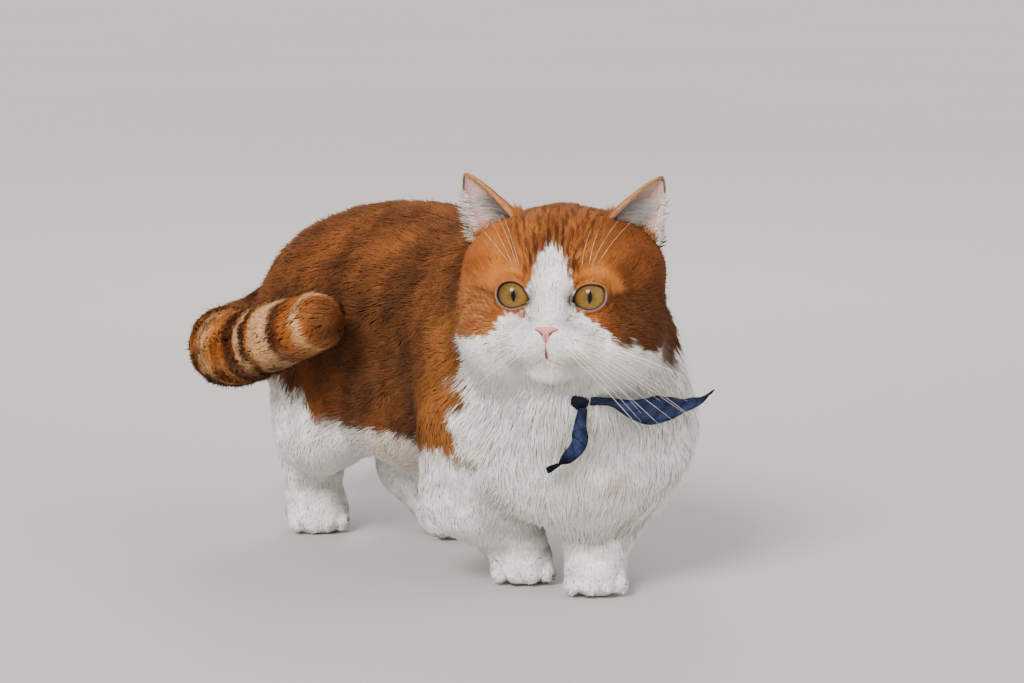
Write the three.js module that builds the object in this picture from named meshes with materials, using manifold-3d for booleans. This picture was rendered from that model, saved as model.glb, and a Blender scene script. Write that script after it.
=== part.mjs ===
// A life-size standing munchkin cat: short legs, a deep round trunk, a broad head turned towards its right,
// and a tail that swings round its right flank. It wears a narrow denim neckerchief tied under the chin.
// Millimetres, +Z up. The cat faces -Y and its left side is +X. The surfaces are those of the fur, out to its
// tips.

import * as THREE from "three";
import { mergeVertices } from "three/addons/utils/BufferGeometryUtils.js";
import Module from "manifold-3d";

const wasm = await Module();
wasm.setup();

// Driving dimensions
const BACK_HEIGHT = 197; // floor to the top of the back
const TRUNK_WIDTH = 116; // across the belly
const BELLY_CLEARANCE = 39; // floor to the belly
const HEAD_WIDTH = 105; // across the cheeks
const HEAD_AT = [-18, -106, 157]; // middle of the skull
const HEAD_YAW = -48; // the face turns to the cat's right, degrees
const HEAD_PITCH = 4; // nose up, degrees
const EYE_SPACING = 37.5; // between the middles of the eyes
const EYEBALL_RADIUS = 10.5;
const EYE_OPENING = [15.2, 13.4]; // between the lids, wide and high
const EYE_TILT = 9; // inner corners down, degrees
const EYE_OUTWARD = 4; // degrees
const EAR_HEIGHT = 33;
const EAR_WIDTH = 33;
const EAR_THICKNESS = 2.6; // at the root
const PAW_WIDTH = 35;
const PAW_LENGTH = 43;
const PAW_HEIGHT = 24;
const BAND_WIDTH = 12; // of the folded neckerchief round the neck
const CLOTH_THICKNESS = 2.2; // of its rolled and folded layers
const TAIL_RADII = [19, 22.5, 22.5, 20, 17]; // from the root to the tip
const GAP = 0.3; // left between touching nodes

const rad = THREE.MathUtils.degToRad;

// Fields: functions of x, y, z that are negative inside a form and give about the distance outside it

// An ellipsoid, turned about +Z by yaw and then tipped nose up by pitch
function blob(at, size, yaw = 0, pitch = 0, roll = 0) {
  const euler = new THREE.Euler(-rad(pitch), rad(roll), rad(yaw), "ZXY");
  const e = new THREE.Matrix4().makeRotationFromEuler(euler).elements;
  const [a, b, c] = size;
  return (px, py, pz) => {
    const dx = px - at[0];
    const dy = py - at[1];
    const dz = pz - at[2];
    const x = (e[0] * dx + e[1] * dy + e[2] * dz) / a;
    const y = (e[4] * dx + e[5] * dy + e[6] * dz) / b;
    const z = (e[8] * dx + e[9] * dy + e[10] * dz) / c;
    const near = Math.hypot(x, y, z);
    if (near < 1e-6) return -Math.min(a, b, c);
    return (near * (near - 1)) / Math.hypot(x / a, y / b, z / c);
  };
}

// A tapered length with round ends, from radius ra at a to radius rb at b
function limb(a, ra, b, rb) {
  const bx = b[0] - a[0];
  const by = b[1] - a[1];
  const bz = b[2] - a[2];
  const long2 = bx * bx + by * by + bz * bz;
  const taper = ra - rb;
  const slant2 = long2 - taper * taper;
  return (px, py, pz) => {
    const x = px - a[0];
    const y = py - a[1];
    const z = pz - a[2];
    const along = x * bx + y * by + z * bz;
    const past = along - long2;
    const ox = x * long2 - bx * along;
    const oy = y * long2 - by * along;
    const oz = z * long2 - bz * along;
    const off2 = ox * ox + oy * oy + oz * oz;
    const k = Math.sign(taper) * taper * taper * off2;
    const beyondEnd = Math.sign(past) * slant2 * past * past * long2 > k;
    const beforeStart = Math.sign(along) * slant2 * along * along * long2 < k;
    if (beyondEnd) return Math.sqrt(off2 + past * past * long2) / long2 - rb;
    if (beforeStart) return Math.sqrt(off2 + along * along * long2) / long2 - ra;
    return (Math.sqrt((off2 * slant2) / long2) + along * taper) / long2 - ra;
  };
}

// Joins fields with a fillet of about k
function blend(k, ...fields) {
  return (x, y, z) => {
    let d = Infinity;
    for (const f of fields) {
      const e = f(x, y, z);
      const h = Math.max(k - Math.abs(d - e), 0) / k;
      d = Math.min(d, e) - (h * h * k) / 4;
    }
    return d;
  };
}

// The head's own frame: origin at the middle of the skull, the face towards -Y
const headPose = new THREE.Matrix4()
  .makeRotationFromEuler(new THREE.Euler(-rad(HEAD_PITCH), 0, rad(HEAD_YAW), "ZXY"))
  .setPosition(...HEAD_AT);
const toHead = headPose.clone().invert();

// A field of one frame, read in another
function moved(field, into) {
  const e = into.elements;
  return (x, y, z) =>
    field(
      e[0] * x + e[4] * y + e[8] * z + e[12],
      e[1] * x + e[5] * y + e[9] * z + e[13],
      e[2] * x + e[6] * y + e[10] * z + e[14],
    );
}

// Trunk
const halfTrunk = TRUNK_WIDTH / 2;
const rump = blob([4, 112, 124], [halfTrunk - 6, 58, 51]);
const belly = blob([8, 36, BELLY_CLEARANCE + 70], [halfTrunk, 84, 68]);
const loin = blob([8, 46, BACK_HEIGHT - 50], [halfTrunk - 8, 94, 46]);
const ribs = blob([5, -44, 122], [halfTrunk + 2, 64, 70], -14);
const chest = blob([12, -88, 86], [61, 48, 56], -20);
const trunk = blend(26, rump, belly, loin, ribs, chest);

// Neck and throat
const neck = blend(
  14,
  limb([0, -56, 140], 48, [-12, -90, 152], 41),
  limb([4, -84, 104], 46, [-12, -106, 122], 38),
  blob([6, -78, 128], [60, 54, 50]),
);

// Feet: the middle of each on the floor, and where its toes point, in degrees from -Y
const FEET = {
  front_right: { at: [2, -48], heading: -38 },
  front_left: { at: [15, -91], heading: -34 },
  hind_right: { at: [-13, 122], heading: -28 },
  hind_left: { at: [40, 62], heading: -16 },
};

// A foot: a rounded block with four toes in front
function foot({ at, heading }) {
  const ahead = [Math.sin(rad(heading)), -Math.cos(rad(heading))];
  const place = (forward, left, up) => [
    at[0] + ahead[0] * forward - ahead[1] * left,
    at[1] + ahead[1] * forward + ahead[0] * left,
    up,
  ];
  const size = [PAW_WIDTH * 0.45, PAW_LENGTH * 0.46, PAW_HEIGHT * 0.56];
  const block = blob(place(-1, 0, PAW_HEIGHT * 0.42), size, heading);
  const toes = [-1.5, -0.5, 0.5, 1.5].map((step) => {
    const middle = 1 - Math.abs(step) / 2;
    const top = place(PAW_LENGTH * (0.05 + 0.1 * middle), step * PAW_WIDTH * 0.2, PAW_HEIGHT * 0.5);
    const tip = place(PAW_LENGTH * (0.24 + 0.13 * middle), step * PAW_WIDTH * 0.235, PAW_HEIGHT * 0.27);
    return limb(top, PAW_WIDTH * 0.13, tip, PAW_WIDTH * 0.155);
  });
  return blend(3, block, blend(1.2, ...toes));
}

// Legs, each from the shoulder or the hip through its joints to the foot
const legs = {
  front_right: blend(
    10,
    limb([-34, -52, 92], 30, [-30, -42, 54], 25),
    limb([-28, -42, 50], 24, [-2, -44, 26], 17.5),
    foot(FEET.front_right),
  ),
  front_left: blend(
    10,
    limb([46, -72, 90], 34, [60, -64, 58], 30),
    limb([56, -66, 52], 26, [21, -86, 28], 18.5),
    foot(FEET.front_left),
  ),
  hind_right: blend(
    12,
    limb([-20, 100, 104], 36, [-28, 90, 74], 30),
    limb([-26, 98, 64], 26, [-13, 126, 42], 17),
    limb([-14, 128, 42], 16.5, [-12, 126, 16], 16),
    foot(FEET.hind_right),
  ),
  hind_left: blend(
    12,
    limb([32, 100, 104], 36, [40, 84, 72], 30),
    limb([40, 92, 62], 26, [32, 96, 38], 17),
    limb([32, 96, 36], 16.5, [38, 72, 15], 15),
    foot(FEET.hind_left),
  ),
};

// Tail: out of the rump, round to the right and forward along the flank, thickest at the bend, to a blunt tip
const tailPath = new THREE.CatmullRomCurve3(
  [
    [2, 132, 128],
    [-8, 158, 115],
    [-28, 169, 107],
    [-48, 158, 106],
    [-66, 126, 109],
    [-76, 88, 117],
    [-79, 54, 127],
    [-76, 28, 136],
  ].map((p) => new THREE.Vector3(...p)),
  false,
  "centripetal",
);
const TAIL_STEPS = 14;
const TAIL_ROOT_STEPS = 3; // of those, the ones that flow into the rump

function tailRadius(t) {
  const along = t * (TAIL_RADII.length - 1);
  const from = Math.min(Math.floor(along), TAIL_RADII.length - 2);
  return THREE.MathUtils.lerp(TAIL_RADII[from], TAIL_RADII[from + 1], along - from);
}

const tailLengths = Array.from({ length: TAIL_STEPS }, (_, i) => {
  const from = i / TAIL_STEPS;
  const to = (i + 1) / TAIL_STEPS;
  const start = tailPath.getPointAt(from).toArray();
  const end = tailPath.getPointAt(to).toArray();
  return limb(start, tailRadius(from), end, tailRadius(to));
});
const tail = blend(4, ...tailLengths);

// Head, in its own frame
const halfHead = HEAD_WIDTH / 2;
const both = (make) => [make(-1), make(1)];
const eyeAt = (side) => [(side * EYE_SPACING) / 2, -33, 4.5];
const skull = blend(
  14,
  blob([0, 6, 9.5], [46, 45, 39.5]),
  ...both((side) => blob([side * 30, 2, 15], [20.5, 27, 21])),
  blob([0, -16, 20], [34, 24, 23]),
  ...both((side) => blob([side * (halfHead - 25), -4, -14], [25, 32, 26])),
  ...both((side) => blob([side * 19, -19, -22], [20, 24, 18])),
);
const bridge = limb([0, -31, 13], 11.5, [0, -46.5, -9], 7.5);
const pads = both((side) => blob([side * 9, -42.5, -19.5], [12.5, 12, 9.5], side * -12));
const chin = blob([0, -38, -31.5], [11.5, 10, 7.5]);
const muzzle = blend(6, ...pads, chin);
const eyelids = both((side) => blob(eyeAt(side), [12.4, 12, 11.8]));
const headForm = blend(5, blend(9, blend(12, skull, bridge), muzzle), ...eyelids);
const head = moved(headForm, toHead);

// The whole coat
const either = (...fields) => (x, y, z) => Math.min(...fields.map((field) => field(x, y, z)));
const rooted = blend(14, blend(20, trunk, neck), ...tailLengths.slice(0, TAIL_ROOT_STEPS));
const coat = blend(14, blend(9, rooted, head), either(...Object.values(legs)));
const coatAndTail = blend(2, coat, tail);

// Surfaces

// Grid lines from a to b, spaced by step, or by fine between two marks
function lines(a, b, step, fine = step, from = a, to = a) {
  const out = [a];
  while (out[out.length - 1] < b) {
    const x = out[out.length - 1];
    out.push(x + (x >= from - step * 0.5 && x < to ? fine : step));
  }
  return out;
}

// The zero surface of a field as a closed solid: one point for each grid cell that it crosses, set on the
// surface, or out from it by a distance
function solidOf(field, [xs, ys, zs], out = 0) {
  const [nx, ny, nz] = [xs.length, ys.length, zs.length];
  const at = (i, j, k) => (k * ny + j) * nx + i;
  const value = new Float64Array(nx * ny * nz);
  for (let k = 0; k < nz; k++)
    for (let j = 0; j < ny; j++)
      for (let i = 0; i < nx; i++) {
        const edge = i === 0 || j === 0 || k === 0 || i === nx - 1 || j === ny - 1 || k === nz - 1;
        const v = field(xs[i], ys[j], zs[k]);
        value[at(i, j, k)] = edge ? Math.max(v, 1e-3) : v || 1e-6;
      }
  partCrossings(value, at, nx, ny, nz);
  const cellPoint = new Map();
  const positions = [];
  for (let k = 0; k < nz - 1; k++)
    for (let j = 0; j < ny - 1; j++)
      for (let i = 0; i < nx - 1; i++) {
        const p = crossingsMean(value, at, xs, ys, zs, i, j, k);
        if (!p) continue;
        settle(field, p, [xs[i], ys[j], zs[k]], [xs[i + 1], ys[j + 1], zs[k + 1]]);
        if (out) slope(field, p).forEach((g, axis) => (p[axis] += g * out));
        cellPoint.set(at(i, j, k), positions.length / 3);
        positions.push(...p);
      }
  const triangles = [];
  const point = (n) => [positions[3 * n], positions[3 * n + 1], positions[3 * n + 2]];
  const far2 = (m, n) => point(m).reduce((sum, v, a) => sum + (v - positions[3 * n + a]) ** 2, 0);
  const quad = (a, b, c, d, flip) => {
    const four = [a, b, c, d].map((cell) => cellPoint.get(cell));
    if (flip) four.reverse();
    const [p, q, r, s] = four;
    if (far2(p, r) <= far2(q, s)) triangles.push(p, q, r, p, r, s);
    else triangles.push(q, r, s, q, s, p);
  };
  for (let k = 0; k < nz - 1; k++)
    for (let j = 0; j < ny - 1; j++)
      for (let i = 0; i < nx - 1; i++) {
        const here = value[at(i, j, k)] < 0;
        if (here !== value[at(i + 1, j, k)] < 0)
          quad(at(i, j - 1, k - 1), at(i, j, k - 1), at(i, j, k), at(i, j - 1, k), !here);
        if (here !== value[at(i, j + 1, k)] < 0)
          quad(at(i - 1, j, k - 1), at(i - 1, j, k), at(i, j, k), at(i, j, k - 1), !here);
        if (here !== value[at(i, j, k + 1)] < 0)
          quad(at(i - 1, j - 1, k), at(i, j - 1, k), at(i, j, k), at(i - 1, j, k), !here);
      }
  const mesh = new wasm.Mesh({
    numProp: 3,
    vertProperties: new Float32Array(positions),
    triVerts: new Uint32Array(triangles),
  });
  return largest(new wasm.Manifold(mesh));
}

// Where the signs at a cell face's corners alternate, its shallower inside corner goes outside, so no edge
// has four faces
function partCrossings(value, at, nx, ny, nz) {
  const faces = [
    [0, 1, 0, 0, 0, 1],
    [1, 0, 0, 0, 0, 1],
    [1, 0, 0, 0, 1, 0],
  ];
  for (let pass = 0, changed = true; changed && pass < 20; pass++) {
    changed = false;
    for (let k = 0; k < nz - 1; k++)
      for (let j = 0; j < ny - 1; j++)
        for (let i = 0; i < nx - 1; i++)
          for (const [a, b, c, d, e, f] of faces) {
            const across = at(i + a + d, j + b + e, k + c + f);
            const four = [at(i, j, k), at(i + a, j + b, k + c), across, at(i + d, j + e, k + f)];
            const inside = four.map((n) => value[n] < 0);
            if (inside[0] !== inside[2] || inside[1] !== inside[3] || inside[0] === inside[1]) continue;
            const shallower = (m, n) => (value[m] >= 0 || (value[n] < 0 && value[n] > value[m]) ? n : m);
            const shallow = four.reduce(shallower);
            value[shallow] = 1e-3;
            changed = true;
          }
  }
}

const CELL_EDGES = [
  [0, 1], [2, 3], [4, 5], [6, 7], [0, 2], [1, 3], [4, 6], [5, 7], [0, 4], [1, 5], [2, 6], [3, 7],
];

// The mean of the places where the surface crosses a cell's edges, or null
function crossingsMean(value, at, xs, ys, zs, i, j, k) {
  const corner = (n) => [i + (n & 1), j + ((n >> 1) & 1), k + (n >> 2)];
  let count = 0;
  const sum = [0, 0, 0];
  for (const [m, n] of CELL_EDGES) {
    const a = corner(m);
    const b = corner(n);
    const va = value[at(...a)];
    const vb = value[at(...b)];
    if (va < 0 === vb < 0) continue;
    const t = va / (va - vb);
    sum[0] += xs[a[0]] + t * (xs[b[0]] - xs[a[0]]);
    sum[1] += ys[a[1]] + t * (ys[b[1]] - ys[a[1]]);
    sum[2] += zs[a[2]] + t * (zs[b[2]] - zs[a[2]]);
    count++;
  }
  return count ? sum.map((v) => v / count) : null;
}

// Moves a point along the field's slope onto its zero surface, without leaving the cell
function settle(field, p, low, high) {
  for (let pass = 0; pass < 3; pass++) {
    const v = field(...p);
    const g = slope(field, p);
    for (let a = 0; a < 3; a++) {
      const room = (high[a] - low[a]) * 0.04;
      p[a] = Math.min(Math.max(p[a] - v * g[a], low[a] + room), high[a] - room);
    }
  }
}

// The unit direction in which a field rises
function slope(field, [x, y, z]) {
  const h = 0.05;
  const g = [
    field(x + h, y, z) - field(x - h, y, z),
    field(x, y + h, z) - field(x, y - h, z),
    field(x, y, z + h) - field(x, y, z - h),
  ];
  const size = Math.hypot(...g) || 1;
  return g.map((d) => d / size);
}

// A three.js geometry as a solid
function solidFrom(geometry, matrix = new THREE.Matrix4()) {
  const bare = geometry.clone().applyMatrix4(matrix);
  bare.deleteAttribute("normal");
  bare.deleteAttribute("uv");
  const merged = mergeVertices(bare, 1e-3);
  const vertProperties = merged.attributes.position.array;
  const triVerts = new Uint32Array(merged.index.array);
  return new wasm.Manifold(new wasm.Mesh({ numProp: 3, vertProperties, triVerts }));
}

// Keeps the largest closed surface of a solid
function largest(solid) {
  const bodies = solid.decompose();
  return bodies.reduce((a, b) => (b.volume() > a.volume() ? b : a));
}

function geometryOf(solid) {
  const { vertProperties, triVerts } = solid.getMesh();
  return new THREE.BufferGeometry()
    .setAttribute("position", new THREE.BufferAttribute(vertProperties, 3))
    .setIndex(new THREE.BufferAttribute(triVerts, 1));
}

// Cutters. Each is made twice: as it is, to keep what is inside it, and let out by the gap, to clear its
// neighbours

const cutter = (make) => ({ keep: make(0), clear: make(GAP) });

function ellipsoid(at, [a, b, c], [around, down] = [18, 12]) {
  return cutter((out) => {
    const upright = new THREE.Matrix4().makeRotationX(Math.PI / 2);
    const matrix = new THREE.Matrix4().makeScale(a + out, c + out, b + out).premultiply(upright);
    return solidFrom(new THREE.SphereGeometry(1, around, down), matrix.setPosition(...at));
  });
}

function block([x, y, z], [a, b, c], yaw = 0) {
  return cutter((out) => {
    const matrix = new THREE.Matrix4().makeRotationZ(rad(yaw)).setPosition(x, y, z);
    return solidFrom(new THREE.BoxGeometry(a + 2 * out, b + 2 * out, c + 2 * out), matrix);
  });
}

const joined = (...cutters) => ({
  keep: cutters.map((one) => one.keep).reduce((a, b) => a.add(b)),
  clear: cutters.map((one) => one.clear).reduce((a, b) => a.add(b)),
});
const less = (solid, ...cutters) => cutters.reduce((rest, one) => rest.subtract(one.clear), solid);

const aboveFloor = block([0, 0, 200], [800, 800, 400]).keep;
const inHead = (solid) => solid.transform(headPose.elements);
const headCut = ellipsoid([0, 2, 4], [66, 66, 57]);
const headCutInWorld = { keep: inHead(headCut.keep), clear: inHead(headCut.clear) };
const neckCut = ellipsoid([-6, -80, 140], [76, 66, 64]);

const footCut = ({ at, heading }) => block([...at, 8], [PAW_WIDTH + 6, PAW_LENGTH + 12, 40], heading);
const legCuts = {
  front_right: joined(ellipsoid([-30, -46, 58], [40, 44, 54], [14, 10]), footCut(FEET.front_right)),
  front_left: joined(ellipsoid([52, -70, 60], [44, 44, 54], [14, 10]), footCut(FEET.front_left)),
  hind_right: joined(ellipsoid([-26, 108, 66], [40, 46, 62], [14, 10]), footCut(FEET.hind_right)),
  hind_left: joined(ellipsoid([40, 88, 62], [36, 46, 62], [14, 10]), footCut(FEET.hind_left)),
};

const headGrid = [
  lines(-66, 66, 10, 4, -26, 26),
  lines(-68, 68, 10, 4, -58, -34),
  lines(-60, 60, 10, 4, -38, 14),
];
const neckGrid = [lines(-84, 84, 14), lines(-162, -8, 14), lines(64, 222, 14)];
const trunkGrid = [lines(-90, 104, 16), lines(-160, 206, 16), lines(4, 226, 16)];
const tailGrid = [lines(-120, 40, 11), lines(0, 222, 11), lines(62, 186, 11)];
const legGrid = ([x, y], [footX, footY], span) => [
  lines(x - span, x + span, 12, 6, footX - 20, footX + 20),
  lines(y - span, y + span, 12, 6, footY - 22, footY + 22),
  lines(-8, 140, 12, 5.4, -8, 28),
];
const LEG_MIDDLES = {
  front_right: [-20, -44],
  front_left: [41, -77],
  hind_right: [-23, 108],
  hind_left: [38, 92],
};

// Face: eyeballs in round sockets behind the lids, the bare nose, and the line of the mouth

// Where a line from outside, going along a direction, first meets a field
function meet(field, from, along) {
  const p = [...from];
  for (let pass = 0; pass < 80; pass++) {
    const d = field(...p) * 0.8;
    for (let axis = 0; axis < 3; axis++) p[axis] += along[axis] * d;
  }
  return p;
}

const onFace = ([x, z]) => meet(headForm, [x, -90, z], [0, 1, 0]);
const ball = (radius, at) =>
  solidFrom(new THREE.SphereGeometry(radius, 14, 9), new THREE.Matrix4().makeTranslation(...at));

// An eye's opening: an oval column from the eyeball out through the lids, its inner corner a little lower
function eyeOpening(side) {
  const column = new THREE.CylinderGeometry(1, 1, 2 * EYEBALL_RADIUS, 20);
  const matrix = new THREE.Matrix4().makeScale(EYE_OPENING[0] / 2, 1, EYE_OPENING[1] / 2);
  const euler = new THREE.Euler(0, rad(side * -EYE_TILT), rad(side * EYE_OUTWARD), "ZYX");
  const turn = new THREE.Matrix4().makeRotationFromEuler(euler);
  const [x, y, z] = eyeAt(side);
  matrix.premultiply(new THREE.Matrix4().makeTranslation(0, -EYEBALL_RADIUS, 0)).premultiply(turn);
  return solidFrom(column, new THREE.Matrix4().makeTranslation(x, y, z).multiply(matrix));
}

const nosePad = blend(2.5, blob([0, -50.3, -11.5], [6, 4.4, 3.4]), blob([0, -50.6, -15.5], [3, 3.8, 4]));
const noseGrid = [lines(-10, 10, 2.2), lines(-60, -43, 2.2), lines(-23, -5, 2.2)];
const noseLeather = (out) => solidOf(nosePad, noseGrid, out);
const nostrils = both((side) => limb([side * 3, -55.2, -13.6], 1.1, [side * 6, -52.4, -12], 0.8));
const noseCut = cutter(noseLeather);
const nostrilGrid = [lines(-9, 9, 1), lines(-58, -49, 1), lines(-17, -9, 1)];
const nostrilSolids = nostrils.map((field) => solidOf(field, nostrilGrid));

// A tube through points, as a chain of short tapered lengths
const tubeGeometry = (points, radius) => {
  const curve = new THREE.CatmullRomCurve3(points.map((p) => new THREE.Vector3(...p)));
  const circle = new THREE.Shape().absarc(0, 0, radius, 0, 2 * Math.PI);
  const steps = 2 * points.length;
  return new THREE.ExtrudeGeometry(circle, { extrudePath: curve, steps, curveSegments: 3 });
};
const MOUTH_DEPTH = 1.1;
const mouthLines = [
  [[0, -17.5], [0, -21], [0, -25]],
  ...both((side) => [[0, -24.4], [side * 3.5, -27.2], [side * 8, -29], [side * 13, -31]]),
].map((points) => solidFrom(tubeGeometry(points.map(onFace), MOUTH_DEPTH)));

const eyes = both((side) => ball(EYEBALL_RADIUS, eyeAt(side)));
const sockets = both((side) => ball(EYEBALL_RADIUS + GAP, eyeAt(side)).add(eyeOpening(side)));

// Ears: an open cup of skin and fur each, thinning to the tip

const EAR_LEAN = 26; // outward, degrees
const EAR_FACING = 24; // outward from straight ahead, degrees
const EAR_TIP_RADIUS = 1.6;
const EAR_SUNK = 9; // below the crown, where the head's surface cuts it off
const EAR_WRAP = 104; // degrees of the cup to each side of its back
const EAR_ROWS = 7;
const EAR_COLUMNS = 8;

function ear(side) {
  const up = new THREE.Vector3(side * Math.sin(rad(EAR_LEAN)), -0.02, Math.cos(rad(EAR_LEAN))).normalize();
  const facing = new THREE.Vector3(side * Math.sin(rad(EAR_FACING)), -Math.cos(rad(EAR_FACING)), 0);
  const back = facing.clone().negate().addScaledVector(up, facing.dot(up)).normalize();
  const axes = new THREE.Matrix4().makeBasis(back.clone().cross(up), back, up);
  const frame = axes.setPosition(side * 33.5, -3, 32);
  const half = (t) => (EAR_WIDTH / 2 - EAR_TIP_RADIUS) * (1 - Math.max(t, 0)) ** 0.78 + EAR_TIP_RADIUS;
  const point = (row, column, inner) => {
    const t = THREE.MathUtils.lerp(-EAR_SUNK / EAR_HEIGHT, 1, row / EAR_ROWS);
    const turn = rad(THREE.MathUtils.lerp(-EAR_WRAP, EAR_WRAP, column / EAR_COLUMNS));
    const radius = half(t);
    const wall = inner ? Math.min(EAR_THICKNESS * (1 - 0.5 * Math.max(t, 0)), radius * 0.55) : 0;
    const cup = 0.82 - 0.2 * Math.max(t, 0);
    const x = (radius - wall) * Math.sin(turn);
    const y = (radius - wall) * cup * Math.cos(turn) - 2.5 * t * t;
    return new THREE.Vector3(x, y, t * EAR_HEIGHT).applyMatrix4(frame);
  };
  return solidFrom(shell(EAR_ROWS, EAR_COLUMNS, point));
}

// A closed sheet with thickness: an outer and an inner grid of points, joined round the edge
function shell(rows, columns, point) {
  const positions = [];
  for (const inner of [false, true])
    for (let row = 0; row <= rows; row++)
      for (let column = 0; column <= columns; column++) {
        positions.push(...point(row, column, inner).toArray());
      }
  const layer = (rows + 1) * (columns + 1);
  const at = (row, column, inner) => row * (columns + 1) + column + (inner ? layer : 0);
  const index = [];
  const quad = (a, b, c, d) => index.push(a, b, c, a, c, d);
  for (let row = 0; row < rows; row++)
    for (let column = 0; column < columns; column++) {
      const corners = [[row, column], [row, column + 1], [row + 1, column + 1], [row + 1, column]];
      quad(...corners.map(([r, c]) => at(r, c, false)).reverse());
      quad(...corners.map(([r, c]) => at(r, c, true)));
    }
  for (let row = 0; row < rows; row++) {
    quad(at(row + 1, 0, false), at(row, 0, false), at(row, 0, true), at(row + 1, 0, true));
    const end = columns;
    quad(at(row, end, false), at(row + 1, end, false), at(row + 1, end, true), at(row, end, true));
  }
  for (let column = 0; column < columns; column++) {
    quad(at(0, column, false), at(0, column + 1, false), at(0, column + 1, true), at(0, column, true));
    const next = column + 1;
    quad(at(rows, next, false), at(rows, column, false), at(rows, column, true), at(rows, next, true));
  }
  const geometry = new THREE.BufferGeometry();
  geometry.setAttribute("position", new THREE.BufferAttribute(new Float32Array(positions), 3));
  return geometry.setIndex(index);
}

// Neckerchief: a folded band sunk in the ruff, a knot under the chin, and its two ends

const KNOT_AT = [-33, -138.5, 109.5];
const bandMiddle = new THREE.Vector3(-12, -88, 151);
const bandUp = new THREE.Vector3(0.31, 0.72, 0.62).normalize();
const bandAxis = new THREE.Vector3(0.94, -0.34, 0).cross(bandUp).normalize();
const bandAcross = bandUp.clone().cross(bandAxis);
const BAND_STEPS = 32;

// How far out the coat lies from the band's axis, at one edge of the band
const bandReach = [-1, 1].map((edge) => {
  const from = bandMiddle.clone().addScaledVector(bandAxis, (edge * BAND_WIDTH) / 2);
  const reach = Array.from({ length: BAND_STEPS }, (_, i) => {
    const turn = (2 * Math.PI * i) / BAND_STEPS;
    const out = bandUp.clone().multiplyScalar(Math.cos(turn)).addScaledVector(bandAcross, Math.sin(turn));
    const start = from.clone().addScaledVector(out, 140).toArray();
    return new THREE.Vector3(...meet(coat, start, out.clone().negate().toArray())).sub(from).dot(out);
  });
  return reach.map((r, i) => (reach.at(i - 1) + 2 * r + reach[(i + 1) % BAND_STEPS]) / 4);
});

const bandCut = cutter((out) => {
  const point = (row, column, inner) => {
    const edge = row ? 1 : -1;
    const turn = (2 * Math.PI * column) / BAND_STEPS;
    const radius = bandReach[row][column % BAND_STEPS] + (inner ? -CLOTH_THICKNESS - out : 0.5 + out);
    return bandMiddle
      .clone()
      .addScaledVector(bandAxis, edge * (BAND_WIDTH / 2 + out))
      .addScaledVector(bandUp, radius * Math.cos(turn))
      .addScaledVector(bandAcross, radius * Math.sin(turn));
  };
  return solidFrom(ring(BAND_STEPS, point));
});

// A closed ring of four-sided section
function ring(steps, point) {
  const positions = [];
  const corners = [[0, false], [1, false], [1, true], [0, true]];
  for (let i = 0; i < steps; i++)
    for (const [row, inner] of corners) positions.push(...point(row, i, inner).toArray());
  const index = [];
  for (let i = 0; i < steps; i++)
    for (let side = 0; side < 4; side++) {
      const a = 4 * i + side;
      const b = 4 * i + ((side + 1) % 4);
      const c = 4 * ((i + 1) % steps) + ((side + 1) % 4);
      const d = 4 * ((i + 1) % steps) + side;
      index.push(a, b, c, a, c, d);
    }
  const geometry = new THREE.BufferGeometry();
  geometry.setAttribute("position", new THREE.BufferAttribute(new Float32Array(positions), 3));
  return geometry.setIndex(index);
}

// A strip of cloth that lies on the coat, through points of [x, y, z, width]
function ribbon(points, out) {
  const places = points.map(([x, y, z]) => new THREE.Vector3(x, y, z));
  const curve = new THREE.CatmullRomCurve3(places, false, "centripetal");
  const STEPS = 3 * (points.length - 1);
  const section = (i) => {
    const t = i / STEPS;
    const at = curve.getPoint(t);
    const along = curve.getTangent(t);
    const rise = new THREE.Vector3(...slope(coat, at.toArray()));
    const across = along.clone().cross(rise).normalize();
    const lift = across.clone().cross(along).normalize();
    const k = Math.min(Math.floor(t * (points.length - 1)), points.length - 2);
    const half = THREE.MathUtils.lerp(points[k][3], points[k + 1][3], t * (points.length - 1) - k) / 2;
    return { at, across, lift, half };
  };
  const point = (row, column, inner) => {
    const { at, across, lift, half } = section(row);
    const end = row === 0 ? -out : row === STEPS ? out : 0;
    return at
      .clone()
      .addScaledVector(across, THREE.MathUtils.lerp(1, -1, column) * (half + out))
      .addScaledVector(lift, inner ? -out : CLOTH_THICKNESS + out)
      .addScaledVector(lift.clone().cross(across), -end);
  };
  return solidFrom(shell(STEPS, 1, point));
}

const knotCut = ellipsoid(KNOT_AT, [7, 5, 5], [16, 10]);
const hangingEnd = [
  [-32.5, -138, 107, 6],
  [-31.5, -134.5, 98, 7],
  [-29.5, -130.5, 88, 8],
  [-33, -124.5, 80, 5],
  [-38, -118, 75, 3],
];
const sideEnd = [
  [-29, -141, 109.5, 6],
  [-14, -147, 109, 7],
  [3, -145.5, 104.5, 12],
  [22, -141.5, 102, 13.5],
  [44, -134, 101, 9],
  [66, -123, 101, 3],
];
const hangingCut = cutter((out) => ribbon(hangingEnd, out));
const sideCut = cutter((out) => ribbon(sideEnd, out));
const clothCuts = [bandCut, knotCut, hangingCut, sideCut];

const headFlesh = solidOf(moved(coat, headPose), headGrid).intersect(headCut.keep);
const headClear = solidOf(moved(coat, headPose), headGrid, GAP);
const fromWorld = (solid) => solid.transform(toHead.elements);
const clothInHead = clothCuts.map((cut) => fromWorld(cut.clear));
const headCutters = [...sockets, noseCut.clear, ...nostrilSolids, ...mouthLines, ...clothInHead];
const headSolid = largest(headCutters.reduce((solid, cut) => solid.subtract(cut), headFlesh));
const noseSolid = largest(nostrilSolids.reduce((solid, cut) => solid.subtract(cut), noseCut.keep));
const earSolids = both((side) => largest(ear(side).subtract(headClear)));
const neckPiece = solidOf(coat, neckGrid).intersect(neckCut.keep);
const neckSolid = largest(less(neckPiece, headCutInWorld, ...clothCuts));

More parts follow.
